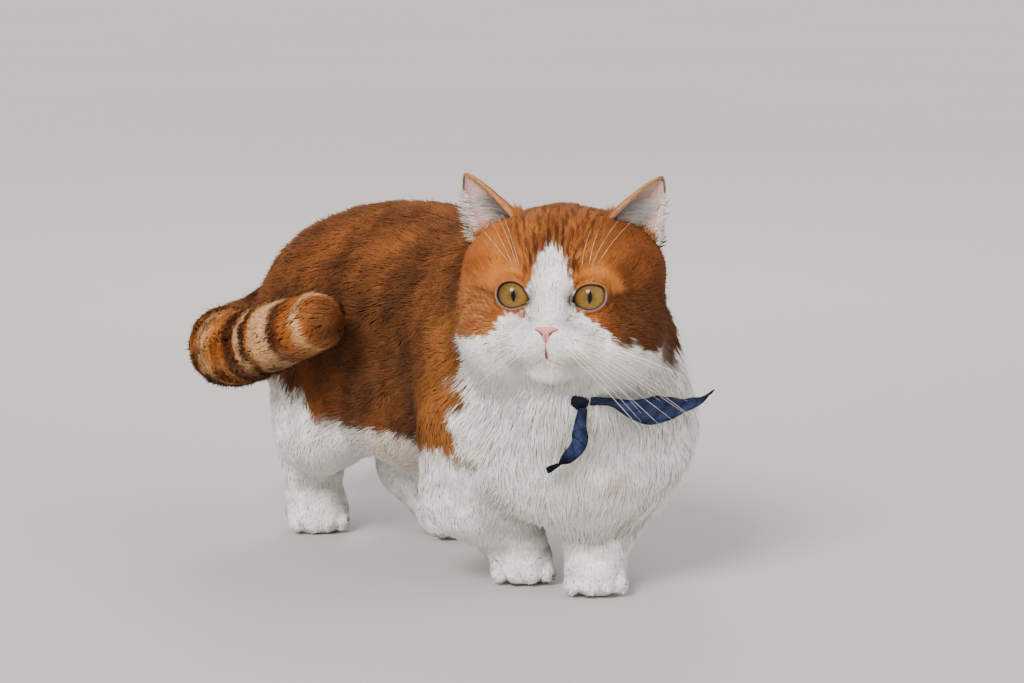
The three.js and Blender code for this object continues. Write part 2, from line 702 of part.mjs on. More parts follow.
const legSolids = {};
const cutSoFar = [headCutInWorld, neckCut];
for (const [name, cut] of Object.entries(legCuts)) {
  const leg = solidOf(coat, legGrid(LEG_MIDDLES[name], FEET[name].at, 56)).intersect(aboveFloor);
  legSolids[name] = largest(less(leg.intersect(cut.keep), ...cutSoFar, ...clothCuts));
  cutSoFar.push(cut);
}

// The tail, cut off where it leaves the rump, and parted across at two places
const TAIL_PARTINGS = [0.38, 0.7];
const tailCut = cutter((out) => solidOf((x, y, z) => tail(x, y, z) - 1, tailGrid, 2 * out));
const wholeTail = largest(less(solidOf(coatAndTail, tailGrid).intersect(tailCut.keep), ...cutSoFar));
const beyond = (solid, t, out) => {
  const along = tailPath.getTangentAt(t);
  return solid.trimByPlane(along.toArray(), along.dot(tailPath.getPointAt(t)) + out);
};
const before = (solid, t, out) => {
  const along = tailPath.getTangentAt(t).negate();
  return solid.trimByPlane(along.toArray(), along.dot(tailPath.getPointAt(t)) + out);
};
const tailSolids = {
  tail_base: before(wholeTail, TAIL_PARTINGS[0], GAP / 2),
  tail_middle: before(beyond(wholeTail, TAIL_PARTINGS[0], GAP / 2), TAIL_PARTINGS[1], GAP / 2),
  tail_tip: beyond(beyond(wholeTail, TAIL_PARTINGS[0], GAP / 2), TAIL_PARTINGS[1], GAP / 2),
};

const trunkRest = less(solidOf(coat, trunkGrid), ...cutSoFar, tailCut, ...clothCuts);
const trunkSolid = largest(trunkRest.subtract(tailCut.keep));

// Scene

const finish = (color, roughness) => new THREE.MeshStandardMaterial({ color, roughness });
const orangeFur = finish(0xb8743a, 0.9);
const whiteFur = finish(0xeee9e2, 0.9);
const pinkSkin = finish(0xd99a8c, 0.6);
const iris = finish(0x8a7a2c, 0.1);
const denim = finish(0x2b3a66, 0.95);

function part(name, solid, material, parent) {
  const mesh = new THREE.Mesh(geometryOf(solid), material);
  mesh.name = name;
  parent.add(mesh);
}

const cat = new THREE.Group();
const headGroup = new THREE.Group();
headGroup.applyMatrix4(headPose);
cat.add(headGroup);
part("head", headSolid, orangeFur, headGroup);
part("nose", noseSolid, pinkSkin, headGroup);
["right", "left"].forEach((side, i) => {
  part("ear_" + side, earSolids[i], orangeFur, headGroup);
  part("eye_" + side, eyes[i], iris, headGroup);
});
part("neck", neckSolid, whiteFur, cat);
part("torso", trunkSolid, orangeFur, cat);
for (const [name, solid] of Object.entries(legSolids)) part(name + "_leg", solid, whiteFur, cat);
for (const [name, solid] of Object.entries(tailSolids)) part(name, largest(solid), orangeFur, cat);
part("bandana_band", largest(less(bandCut.keep, knotCut)), denim, cat);
part("bandana_knot", knotCut.keep, denim, cat);
part("bandana_end_hanging", largest(less(hangingCut.keep, knotCut, bandCut)), denim, cat);
part("bandana_end_side", largest(less(sideCut.keep, knotCut, bandCut, hangingCut)), denim, cat);

// The origin is on the floor, under the middle of the cat
const middle = new THREE.Box3().setFromObject(cat, true).getCenter(new THREE.Vector3());
cat.position.set(-middle.x, -middle.y, 0);

export default cat;
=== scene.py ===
# A standing munchkin cat: its skin, plush coat, eyes, nose, ears, whiskers and denim neckerchief, around the
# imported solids. Forms are worked out in millimetres in the source's own frame, where the cat faces -Y, and
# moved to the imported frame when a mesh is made.

import math

import bpy
import numpy as np
from mathutils import Matrix, Vector


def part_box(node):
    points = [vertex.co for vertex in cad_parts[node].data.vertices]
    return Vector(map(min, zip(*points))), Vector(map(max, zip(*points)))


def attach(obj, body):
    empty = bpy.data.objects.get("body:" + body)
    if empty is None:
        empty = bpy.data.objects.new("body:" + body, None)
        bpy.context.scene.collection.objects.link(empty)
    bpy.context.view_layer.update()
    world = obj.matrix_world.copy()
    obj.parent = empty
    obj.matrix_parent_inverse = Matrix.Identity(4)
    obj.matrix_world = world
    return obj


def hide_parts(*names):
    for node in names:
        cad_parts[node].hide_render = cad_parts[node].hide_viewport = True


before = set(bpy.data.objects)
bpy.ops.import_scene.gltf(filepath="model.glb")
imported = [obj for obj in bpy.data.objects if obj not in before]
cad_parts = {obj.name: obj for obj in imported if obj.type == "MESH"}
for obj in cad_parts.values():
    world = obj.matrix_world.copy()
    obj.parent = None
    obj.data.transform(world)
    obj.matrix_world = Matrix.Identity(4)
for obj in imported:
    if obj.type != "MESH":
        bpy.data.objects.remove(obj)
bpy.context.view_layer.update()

rng = np.random.default_rng(20417)

# Sizes shared with the solids
TRUNK_WIDTH = 116
BACK_HEIGHT = 197
BELLY_CLEARANCE = 39
HEAD_WIDTH = 105
HEAD_AT = np.array([-18.0, -106.0, 157.0])
HEAD_YAW = -48
HEAD_PITCH = 4
EYE_SPACING = 37.5
EYEBALL_RADIUS = 10.5
EYE_OPENING = (14.5, 12.7)
EAR_HEIGHT = 32
EAR_WIDTH = 33
EAR_THICKNESS = 2.6
PAW_WIDTH = 35
PAW_LENGTH = 43
PAW_HEIGHT = 24
BAND_WIDTH = 12
TAIL_RADII = [19, 22.5, 22.5, 20, 17]
SIDES = ((-1, "right"), (1, "left"))

# The coat
TUFT_COUNT = 241000
TUFTS_A_PIECE = 32000
FEWEST_TUFTS = 50  # a smaller group is left out
STRAY_SHARE = 0.02
CLUMP_SIZE = 9.0  # mm
UV_PATCH = 0.0015  # half a tuft's patch on the unwrap

# Helpers for arrays of points and numbers
def span(v):
    return np.linalg.norm(v, axis=-1)


def unit(v):
    return v / np.maximum(np.linalg.norm(v, axis=-1, keepdims=True), 1e-9)


def dot(a, b):
    return (a * b).sum(-1)


def ramp(x, low, high):
    t = np.clip((x - low) / (high - low), 0, 1)
    return t * t * (3 - 2 * t)


def fall(x, low, high):
    return 1 - ramp(x, low, high)


def bell(x):
    return np.exp(-(x**2))


def mix(a, b, t):
    return a + (b - a) * t


def both(make):
    return [make(-1), make(1)]


# Fields: distances in millimetres from points to a form, negative inside
def turn_matrix(yaw=0.0, pitch=0.0, roll=0.0):
    y, p, r = (math.radians(a) for a in (yaw, -pitch, roll))
    about_z = np.array([[math.cos(y), -math.sin(y), 0], [math.sin(y), math.cos(y), 0], [0, 0, 1]])
    about_x = np.array([[1, 0, 0], [0, math.cos(p), -math.sin(p)], [0, math.sin(p), math.cos(p)]])
    about_y = np.array([[math.cos(r), 0, math.sin(r)], [0, 1, 0], [-math.sin(r), 0, math.cos(r)]])
    return about_z @ about_x @ about_y


def blob(at, size, yaw=0, pitch=0, roll=0):
    turn = turn_matrix(yaw, pitch, roll)
    at, size = np.array(at, float), np.array(size, float)

    def field(p):
        q = ((p - at) @ turn) / size
        near = np.sqrt((q * q).sum(1)) + 1e-9
        return near * (near - 1) / np.sqrt(((q / size) ** 2).sum(1) + 1e-14)

    return field


def limb(a, ra, b, rb):
    a = np.array(a, float)
    ba = np.array(b, float) - a
    long2 = ba @ ba
    taper = ra - rb
    slant2 = long2 - taper * taper

    def field(p):
        x = p - a
        along = x @ ba
        past = along - long2
        off = x * long2 - along[:, None] * ba
        off2 = (off * off).sum(1)
        k = np.sign(taper) * taper * taper * off2
        beyond = np.sign(past) * slant2 * past * past * long2 > k
        before = np.sign(along) * slant2 * along * along * long2 < k
        d = (np.sqrt(off2 * slant2 / long2) + along * taper) / long2 - ra
        d = np.where(before, np.sqrt(off2 + along * along * long2) / long2 - ra, d)
        return np.where(beyond, np.sqrt(off2 + past * past * long2) / long2 - rb, d)

    return field


def merge(k, *distances):
    d = distances[0]
    for e in distances[1:]:
        h = np.maximum(k - np.abs(d - e), 0) / k
        d = np.minimum(d, e) - h * h * k / 4
    return d


def blend(k, *fields):
    return lambda p: merge(k, *(f(p) for f in fields))


HEAD_TURN = turn_matrix(HEAD_YAW, HEAD_PITCH)


def to_head(p):
    return (p - HEAD_AT) @ HEAD_TURN


def from_head(p):
    return np.asarray(p, float) @ HEAD_TURN.T + HEAD_AT


# Body and neck
HALF_TRUNK = TRUNK_WIDTH / 2
trunk = blend(
    26,
    blob([4, 112, 124], [HALF_TRUNK - 6, 58, 51]),
    blob([8, 36, BELLY_CLEARANCE + 70], [HALF_TRUNK, 84, 68]),
    blob([8, 46, BACK_HEIGHT - 50], [HALF_TRUNK - 8, 94, 46]),
    blob([5, -44, 122], [HALF_TRUNK + 2, 64, 70], -14),
    blob([12, -88, 86], [61, 48, 56], -20),
)
neck = blend(
    14,
    limb([0, -56, 140], 48, [-12, -90, 152], 41),
    limb([4, -84, 104], 46, [-12, -106, 122], 38),
    blob([6, -78, 128], [60, 54, 50]),
)

# Feet and legs
FEET = {
    "front_right": ([2, -48], -38),
    "front_left": ([15, -91], -34),
    "hind_right": ([-13, 122], -28),
    "hind_left": ([40, 62], -16),
}


def foot(name):
    at, heading = FEET[name]
    ahead = np.array([math.sin(math.radians(heading)), -math.cos(math.radians(heading))])

    def place(forward, left, up):
        x = at[0] + ahead[0] * forward - ahead[1] * left
        y = at[1] + ahead[1] * forward + ahead[0] * left
        return [x, y, up]

    size = [PAW_WIDTH * 0.45, PAW_LENGTH * 0.46, PAW_HEIGHT * 0.56]
    block = blob(place(-1, 0, PAW_HEIGHT * 0.42), size, heading)
    toes = []
    for step in (-1.5, -0.5, 0.5, 1.5):
        middle = 1 - abs(step) / 2
        top = place(PAW_LENGTH * (0.05 + 0.1 * middle), step * PAW_WIDTH * 0.2, PAW_HEIGHT * 0.5)
        tip = place(PAW_LENGTH * (0.24 + 0.13 * middle), step * PAW_WIDTH * 0.235, PAW_HEIGHT * 0.27)
        toes.append(limb(top, PAW_WIDTH * 0.13, tip, PAW_WIDTH * 0.155))
    return blend(3, block, blend(2.6, *toes))


LEGS = {
    "front_right": blend(
        10,
        limb([-34, -52, 92], 30, [-30, -42, 54], 25),
        limb([-28, -42, 50], 24, [-2, -44, 26], 17.5),
        foot("front_right"),
    ),
    "front_left": blend(
        10,
        limb([46, -72, 90], 34, [60, -64, 58], 30),
        limb([56, -66, 52], 26, [21, -86, 28], 18.5),
        foot("front_left"),
    ),
    "hind_right": blend(
        12,
        limb([-20, 100, 104], 36, [-28, 90, 74], 30),
        limb([-26, 98, 64], 26, [-13, 126, 42], 17),
        limb([-14, 128, 42], 16.5, [-12, 126, 16], 16),
        foot("hind_right"),
    ),
    "hind_left": blend(
        12,
        limb([32, 100, 104], 36, [40, 84, 72], 30),
        limb([40, 92, 62], 26, [32, 96, 38], 17),
        limb([32, 96, 36], 16.5, [38, 72, 15], 15),
        foot("hind_left"),
    ),
}


# Points along a smooth curve through other points, evenly spaced by length
def smooth_path(points, count):
    points = np.array(points, float)
    padded = np.vstack([2 * points[0] - points[1], points, 2 * points[-1] - points[-2]])
    out = []
    for i in range(len(points) - 1):
        x0, x1, x2, x3 = padded[i : i + 4]
        d0, d1, d2 = (
            max(np.linalg.norm(b[:3] - a[:3]), 1e-6) ** 0.5 for a, b in ((x0, x1), (x1, x2), (x2, x3))
        )
        t1 = ((x1 - x0) / d0 - (x2 - x0) / (d0 + d1) + (x2 - x1) / d1) * d1
        t2 = ((x2 - x1) / d1 - (x3 - x1) / (d1 + d2) + (x3 - x2) / d2) * d1
        w = np.linspace(0, 1, 60, endpoint=False)[:, None]
        out.append(x1 + t1 * w + (3 * (x2 - x1) - 2 * t1 - t2) * w**2 + (2 * (x1 - x2) + t1 + t2) * w**3)
    dense = np.vstack(out + [points[-1:]])
    reach = np.concatenate([[0], np.cumsum(span(np.diff(dense[:, :3], axis=0)))])
    at = np.linspace(0, reach[-1], count)
    return np.stack([np.interp(at, reach, dense[:, k]) for k in range(dense.shape[1])], 1)


# Tail
TAIL_POINTS = [[2, 132, 128], [-8, 158, 115], [-28, 169, 107], [-48, 158, 106]]
TAIL_POINTS += [[-66, 126, 109], [-76, 88, 117], [-79, 54, 127], [-76, 28, 136]]
TAIL_STEPS = 14
TAIL_ROOT_STEPS = 3
tail_line = smooth_path(TAIL_POINTS, TAIL_STEPS * 8 + 1)
tail_along = unit(np.gradient(tail_line, axis=0))
tail_knots = tail_line[::8]
tail_radii = np.interp(np.linspace(0, 4, TAIL_STEPS + 1), range(5), TAIL_RADII)
tail_lengths = [
    limb(tail_knots[i], tail_radii[i], tail_knots[i + 1], tail_radii[i + 1]) for i in range(TAIL_STEPS)
]


# Head, in its own frame
def eye_at(side):
    return np.array([side * EYE_SPACING / 2, -33.0, 4.5])


HALF_HEAD = HEAD_WIDTH / 2
skull = blend(
    14,
    blob([0, 6, 9.5], [46, 45, 39.5]),
    *both(lambda side: blob([side * 30, 2, 15], [20.5, 27, 21])),
    blob([0, -16, 20], [34, 24, 23]),
    *both(lambda side: blob([side * (HALF_HEAD - 25), -4, -14], [25, 32, 26])),
    *both(lambda side: blob([side * 19, -19, -22], [20, 24, 18])),
)
bridge = limb([0, -31, 13], 11.5, [0, -46.5, -9], 7.5)
pads = both(lambda side: blob([side * 9, -42.5, -19.5], [12.5, 12, 9.5], side * -12))
muzzle = blend(9, *pads, blob([0, -38, -31.5], [11.5, 10, 7.5]))
eyelids = both(lambda side: blob(eye_at(side), [12.4, 12, 11.8]))
head_form = blend(5, blend(9, blend(12, skull, bridge), muzzle), *eyelids)
nose_form = blend(2.5, blob([0, -50.3, -11.5], [7, 4.4, 3.4]), blob([0, -50.6, -15.5], [3, 3.8, 4]))
nostril_form = [limb([s * 3, -55.2, -13.6], 1.1, [s * 6, -52.4, -12], 0.8) for s in (-1, 1)]


def drawn_in(d, inner, wall):
    """A form d with the fur round the eyes drawn in to a wall's thickness outside the eyeballs."""
    for side in (-1, 1):
        shell = EYEBALL_RADIUS + wall - span(inner - eye_at(side))
        d = -merge(2.5, -d, np.maximum(opening_distance(inner, side) - 1.6, shell))
    return d


# Distances from points to each main form and to the whole coat's outline
def measure(p):
    inner = to_head(p)
    d_head = drawn_in(head_form(inner), inner, 1.6)
    d_tails = [f(p) for f in tail_lengths]
    d_body = merge(14, merge(20, trunk(p), neck(p)), *d_tails[:TAIL_ROOT_STEPS])
    d_legs = np.stack([f(p) for f in LEGS.values()])
    d_tail = merge(4, *d_tails)
    coat = merge(2, merge(14, merge(9, d_body, d_head), d_legs.min(0)), d_tail)
    return {"inner": inner, "head": d_head, "body": d_body, "legs": d_legs, "tail": d_tail, "coat": coat}


# Waves of random direction summed, for soft variation over about a given size
def ripple(seed, size, count=6):
    local = np.random.default_rng(seed)
    k = local.normal(size=(3, count))
    k *= 2 * math.pi / size * local.uniform(0.65, 1.4, count) / np.linalg.norm(k, axis=0)
    phase = local.uniform(0, 2 * math.pi, count)
    return lambda p: np.sin(p @ k + phase).sum(1) / math.sqrt(count / 2)


# The coat's measures at points on it: depth, hair length, tuft width and tufts to a square millimetre
REGIONS = ("head", "body", "legs", "tail")
BODY_COAT = [(6.5, 8.0), (14.0, 16.5), (0.9, 1.1), (1.0, 1.15)]  # on the flank, on the chest
LEG_COAT = [(4.5, 1.7), (9.5, 4.6), (0.8, 0.52), (1.4, 3.4)]  # on the leg, on the paw
TAIL_COAT = [6.5, 9.5, 0.75, 1.7]
NOSE_AT = np.array([0.0, -50.0, -14.0])


def region_weights(m, reach=4.0):
    d = np.stack([m["head"], m["body"], m["legs"].min(0), m["tail"]])
    w = np.exp(-np.clip(d - d.min(0), 0, 15 * reach) / reach)
    return w / w.sum(0)


def eye_gap(inner):
    return np.min([span(inner - eye_at(s)) for s in (-1, 1)], axis=0) - EYEBALL_RADIUS


def coat_measures(p, m):
    w = region_weights(m)
    inner = m["inner"]
    front = fall(inner[:, 1], -30, 2)
    nose_near = fall(span(inner - NOSE_AT), 8, 34)
    at_nose = fall(nose_form(inner), 1, 7)
    eye_near = fall(eye_gap(inner), 2.0, 8.0)
    paw = fall(p[:, 2], 18, 44)
    chest = fall(p[:, 1], -105, -60)

    def over_head(crown, face, muzzle, nose, lids):
        return mix(mix(mix(mix(crown, face, front), muzzle, nose_near), nose, at_nose), lids, eye_near)

    head = [
        over_head(4.6, 3.0, 1.3, 0.45, 0.45),
        over_head(10.0, 6.5, 3.2, 1.8, 2.8) + 2.5 * fall(inner[:, 2], -34, -14),
        over_head(0.75, 0.5, 0.38, 0.28, 0.34),
        over_head(1.5, 2.9, 5.0, 9.0, 7.0),
    ]
    body = np.stack([mix(a, b, chest) for a, b in BODY_COAT])
    legs = np.stack([mix(a, b, paw) for a, b in LEG_COAT])
    return np.stack(head) * w[0] + body * w[1] + legs * w[2] + np.array(TAIL_COAT)[:, None] * w[3]


# An eye's opening between the lids, in the eye's own turn
def eye_turn(side):
    return turn_matrix(4 * side, 0, -9 * side)


def opening_edge(side, turn):
    """Half sizes of the opening in a direction: a round oval, drawn out and lowered at its inner corner."""
    inward = np.maximum(-side * np.cos(turn), 0) ** 6
    wide = EYE_OPENING[0] / 2 + 1.6 * inward
    high = EYE_OPENING[1] / 2
    square = 0.8 * np.exp(-(((turn % (2 * math.pi)) - 0.65) / 0.4) ** 2) * (side > 0)
    x = (wide + square) * np.cos(turn)
    z = (high - 0.5 * (side > 0) * (np.sin(turn) > 0) * np.sin(turn) ** 2) * np.sin(turn) - 1.5 * inward
    return x, z


def opening_distance(inner, side):
    q = (inner - eye_at(side)) @ eye_turn(side)
    turn = np.arctan2(q[:, 2] / EYE_OPENING[1], q[:, 0] / EYE_OPENING[0])
    out = np.hypot(q[:, 0], q[:, 2]) - np.hypot(*opening_edge(side, turn))
    return np.where(q[:, 1] < 2, out, 30.0)


def from_openings(inner):
    return np.minimum(*both(lambda side: opening_distance(inner, side)))


def skin_field(p):
    m = measure(p)
    d = m["coat"] + coat_measures(p, m)[0]
    for side in (-1, 1):
        ball = span(m["inner"] - eye_at(side)) - EYEBALL_RADIUS + 0.4
        d = -merge(0.6, -d, np.minimum(ball, opening_distance(m["inner"], side) + 0.2))
    return d


def slopes(field, p, h=0.4):
    return unit(np.stack([field(p + h * axis) - field(p - h * axis) for axis in np.eye(3)], 1))


# Surface nets: the zero surface of a field over a grid whose lines may be closer together in places
def grid_lines(a, b, step, fine=None, low=None, high=None):
    out = [a]
    while out[-1] < b:
        near = fine is not None and low - step <= out[-1] < high
        out.append(out[-1] + (fine if near else step))
    return np.array(out)


def surface_net(field, xs, ys, zs, passes=2):
    """Points and quads of a field's zero surface, with one point in each cell that it crosses."""
    lines = (xs, ys, zs)
    shape = tuple(len(line) for line in lines)
    grid = np.stack(np.meshgrid(*lines, indexing="ij"), -1).reshape(-1, 3)
    blocks = np.array_split(grid, max(1, len(grid) // 200000))
    value = np.concatenate([field(part) for part in blocks]).reshape(shape)
    for axis in range(3):
        edge = np.moveaxis(value, axis, 0)
        edge[0] = np.maximum(edge[0], 0.001)
        edge[-1] = np.maximum(edge[-1], 0.001)
    cells = tuple(n - 1 for n in shape)
    total = np.zeros(cells + (3,))
    count = np.zeros(cells)
    for axis in range(3):
        for corner in np.ndindex(2, 2):
            low, high = np.insert(corner, axis, 0), np.insert(corner, axis, 1)
            va, vb = (value[tuple(slice(a, a + n) for a, n in zip(start, cells))] for start in (low, high))
            crossing = (va < 0) != (vb < 0)
            t = np.where(crossing, va / np.where(crossing, va - vb, 1), 0)
            for k, line in enumerate(lines):
                place = [1, 1, 1]
                place[k] = cells[k]
                at = line[low[k] : low[k] + cells[k]].reshape(place)
                if k == axis:
                    at = at + t * np.diff(line).reshape(place)
                total[..., k] += np.where(crossing, at, 0)
            count += crossing
    active = count > 0
    number = np.full(cells, -1)
    number[active] = np.arange(active.sum())
    points = total[active] / count[active][:, None]
    for _ in range(passes):
        points = points - np.clip(field(points), -1.5, 1.5)[:, None] * slopes(field, points)
    inside = value < 0
    quads = []
    for axis in range(3):
        a_cut, b_cut = [slice(1, -1)] * 3, [slice(1, -1)] * 3
        a_cut[axis], b_cut[axis] = slice(0, shape[axis] - 1), slice(1, shape[axis])
        here, there = inside[tuple(a_cut)], inside[tuple(b_cut)]
        at = np.argwhere(here != there) + (np.arange(3) != axis)
        u, v = (np.eye(3, dtype=int)[(axis + k) % 3] for k in (1, 2))
        corners = np.stack([number[tuple((at + o).T)] for o in (-u - v, -v, 0 * u, -u)], 1)
        flip = ~here[here != there]
        corners[flip] = corners[flip][:, ::-1]
        quads.append(corners)
    return points, np.vstack(quads)


# Number of the nearest point of the tail's line
def tail_place(p):
    best = np.full(len(p), np.inf)
    at = np.zeros(len(p), int)
    for i, q in enumerate(tail_line):
        d = ((p - q) ** 2).sum(1)
        at[d < best] = i
        best = np.minimum(best, d)
    return at


# Places on an unwrap of the skin's own shape: head round its middle, trunk, tail and legs round their lengths
LEG_TOPS = np.array([[-30, -50], [50, -70], [-22, 95], [36, 92]])  # the legs' middles at LEG_TOP_HEIGHT
LEG_TOP_HEIGHT = 110


def unwrap(p, region, leg, around=None):
    """Places on the unwrap. around gives the angles to stay near, so that no face is torn across a seam."""
    x, y, z = p.T
    inner = to_head(p)
    at = tail_place(p)
    side = unit(np.cross(tail_along[at], [0.0, 0.0, 1.0]))
    off = p - tail_line[at]
    feet = np.array([spot for spot, _ in FEET.values()])[leg]
    height = np.clip(z / LEG_TOP_HEIGHT, 0, 1)
    leg_x, leg_y = (feet + (LEG_TOPS[leg] - feet) * height[:, None]).T
    angles = [
        np.arctan2(inner[:, 0], -inner[:, 1]),
        np.arctan2(x - 6, z - 112),
        np.arctan2(x - leg_x, leg_y - y),
        np.arctan2(dot(off, side), dot(off, np.cross(side, tail_along[at]))),
    ]
    angle = np.choose(region, angles)
    if around is not None:
        angle = angle + 2 * math.pi * np.round((around - angle) / (2 * math.pi))
    turn = angle / (2 * math.pi) + 0.5
    tilt = np.arctan2(inner[:, 2], np.hypot(inner[:, 0], inner[:, 1])) / math.pi + 0.5
    broad = 0.02 + 0.56 * turn
    u = [broad, broad, 0.62 + 0.19 * (leg % 2) + 0.17 * turn, 0.62 + 0.36 * turn]
    v = [
        0.02 + 0.44 * tilt,
        0.50 + 0.47 * np.clip((y + 160) / 340, 0, 1),
        0.02 + 0.17 * (leg // 2) + 0.15 * height,
        0.40 + 0.57 * at / (len(tail_line) - 1),
    ]
    return np.stack([np.choose(region, u), np.choose(region, v)], 1), angle


# Colours of the coat, from values as on a screen
def linear(r, g, b):
    c = np.array([r, g, b]) / 255
    return np.where(c <= 0.04045, c / 12.92, ((c + 0.055) / 1.055) ** 2.4)


WHITE = linear(241, 237, 231)
WARM_WHITE = linear(226, 208, 186)
GINGER = linear(152, 84, 36)
LIGHT_GINGER = linear(186, 112, 48)
GOLD = linear(158, 98, 46)
DARK_GINGER = linear(108, 56, 25)
BROWN = linear(58, 32, 18)
CREAM = linear(200, 152, 106)
FLANK = linear(104, 62, 33)
DARK_FLANK = linear(68, 39, 21)
UMBER = linear(60, 40, 26)
LID_TONE = linear(152, 124, 122)
TEAR_DARK = linear(92, 56, 60)
PINK = linear(214, 142, 134)
TEAR_PINK = linear(126, 66, 62)
TEAR_TONES = {-1: (TEAR_PINK, 0.45), 1: (TEAR_DARK, 0.8)}
LID_EDGE = linear(20, 12, 10)
# painted warm shade for the white under the belly
BELLY_SHADE = linear(186, 150, 116)
NOSE_WHITE = linear(240, 220, 214)
NOSE_LEATHER = linear(216, 134, 126)
NOSE_RIM = linear(196, 118, 104)
NOSE_CREASE_SHADE = linear(150, 70, 66)
NOSTRIL_SHADE = linear(44, 16, 16)
LIP = linear(126, 78, 76)
WHISKER = linear(244, 234, 218)
EAR_PINK = linear(228, 178, 166)
EAR_HOLLOW_SHADE = linear(160, 100, 84)
EAR_EDGE = linear(222, 180, 156)
EAR_DOWN = linear(222, 164, 150)
EAR_DOWN_PALE = linear(240, 214, 204)
EAR_HAIR = linear(248, 240, 234)

mottle_broad = ripple(11, 46)
mottle_mid = ripple(12, 19)
mottle_fine = ripple(13, 6)
edge_wobble = ripple(14, 15)
edge_fine = ripple(15, 5)
strand_noise = ripple(16, 3.2)

# Height of the border between ginger and white along the body
BORDER_Y = [-80, -70, -60, -30, 2, 24, 40, 55, 61, 72, 82, 95, 112, 140, 175]
BORDER_Z = [74, 72, 76, 72, 70, 71, 72, 70, 70, 78, 87, 96, 98, 100, 102]

# Bands of the tail along y, from the bend to the tip
BAND_STOPS = [
    (8, FLANK), (16, FLANK), (24, GINGER), (26.5, CREAM), (29, CREAM), (32, GINGER), (36, GINGER),
    (41, DARK_GINGER), (47, BROWN), (50, CREAM), (64, CREAM), (67, LIGHT_GINGER), (70, BROWN),
    (73.5, BROWN), (75.5, CREAM), (78.5, CREAM), (81, DARK_GINGER), (92, BROWN), (98, GINGER),
    (112, LIGHT_GINGER), (126, CREAM), (140, GINGER), (156, LIGHT_GINGER), (165, GINGER),
]


def colour_mix(a, b, t):
    return a + (b - a) * t[:, None]


def painted(colour, *layers):
    """A colour with others laid over it in turn, each with how much of it shows."""
    for over, amount in layers:
        colour = colour_mix(colour, over, amount)
    return colour


def body_colour(p):
    x, y, z = p.T
    tone = 0.5 + 0.18 * mottle_broad(p) + 0.16 * mottle_mid(p * [1, 1.5, 0.7]) + 0.14 * mottle_fine(p)
    nape = ramp(z, 118, 130) * fall(y, -96, -70)
    ginger = painted(
        DARK_FLANK,
        (FLANK, ramp(tone, -0.1, 0.9)),
        (GINGER, 0.35 * ramp(tone, 0.55, 1.25)),
        # painted shadow of the tail: umber on the near flank behind it
        (UMBER, 0.5 * bell((y - 15) / 42) * bell((z - 118) / 30) * (x < 0)),
        (GOLD, 0.6 * ramp(y, -84, -66) * fall(y, -58, -30) * fall(z, 130, 165)),
        (GINGER, 0.15 * ramp(z, 150, 185)),
        (GINGER, 0.7 * nape * fall(x, 4, 24)),
        # painted shade: umber on the far side of the nape, as on the far side of the head
        (UMBER, 0.4 * nape * ramp(x, 4, 24)),
    )
    wobble = 2.2 * edge_wobble(p) + 1.2 * edge_fine(p)
    border = np.interp(y, BORDER_Y, BORDER_Z)
    below = fall(z + wobble, border - 2.5, border + 2.5)
    ahead = fall(y + np.maximum(z - 144, 0) * 1.3 + wobble, -73.5, -69)
    ahead = ahead * (1 - ramp(x, 8, 34) * ramp(z + wobble, 124, 129))
    chest_tan = ramp(0.5 * edge_wobble(p * 0.8) + 0.6 * mottle_mid(p), 0.6, 1.5) * fall(y, -118, -90)
    # painted warm shade on the white of the belly, low between the legs
    belly_shade = bell((y - 10) / 50) * fall(z, 84, 96)
    white = painted(WHITE, (WARM_WHITE, 0.35 * chest_tan), (BELLY_SHADE, 0.5 * belly_shade))
    return colour_mix(ginger, white, np.maximum(below, ahead))


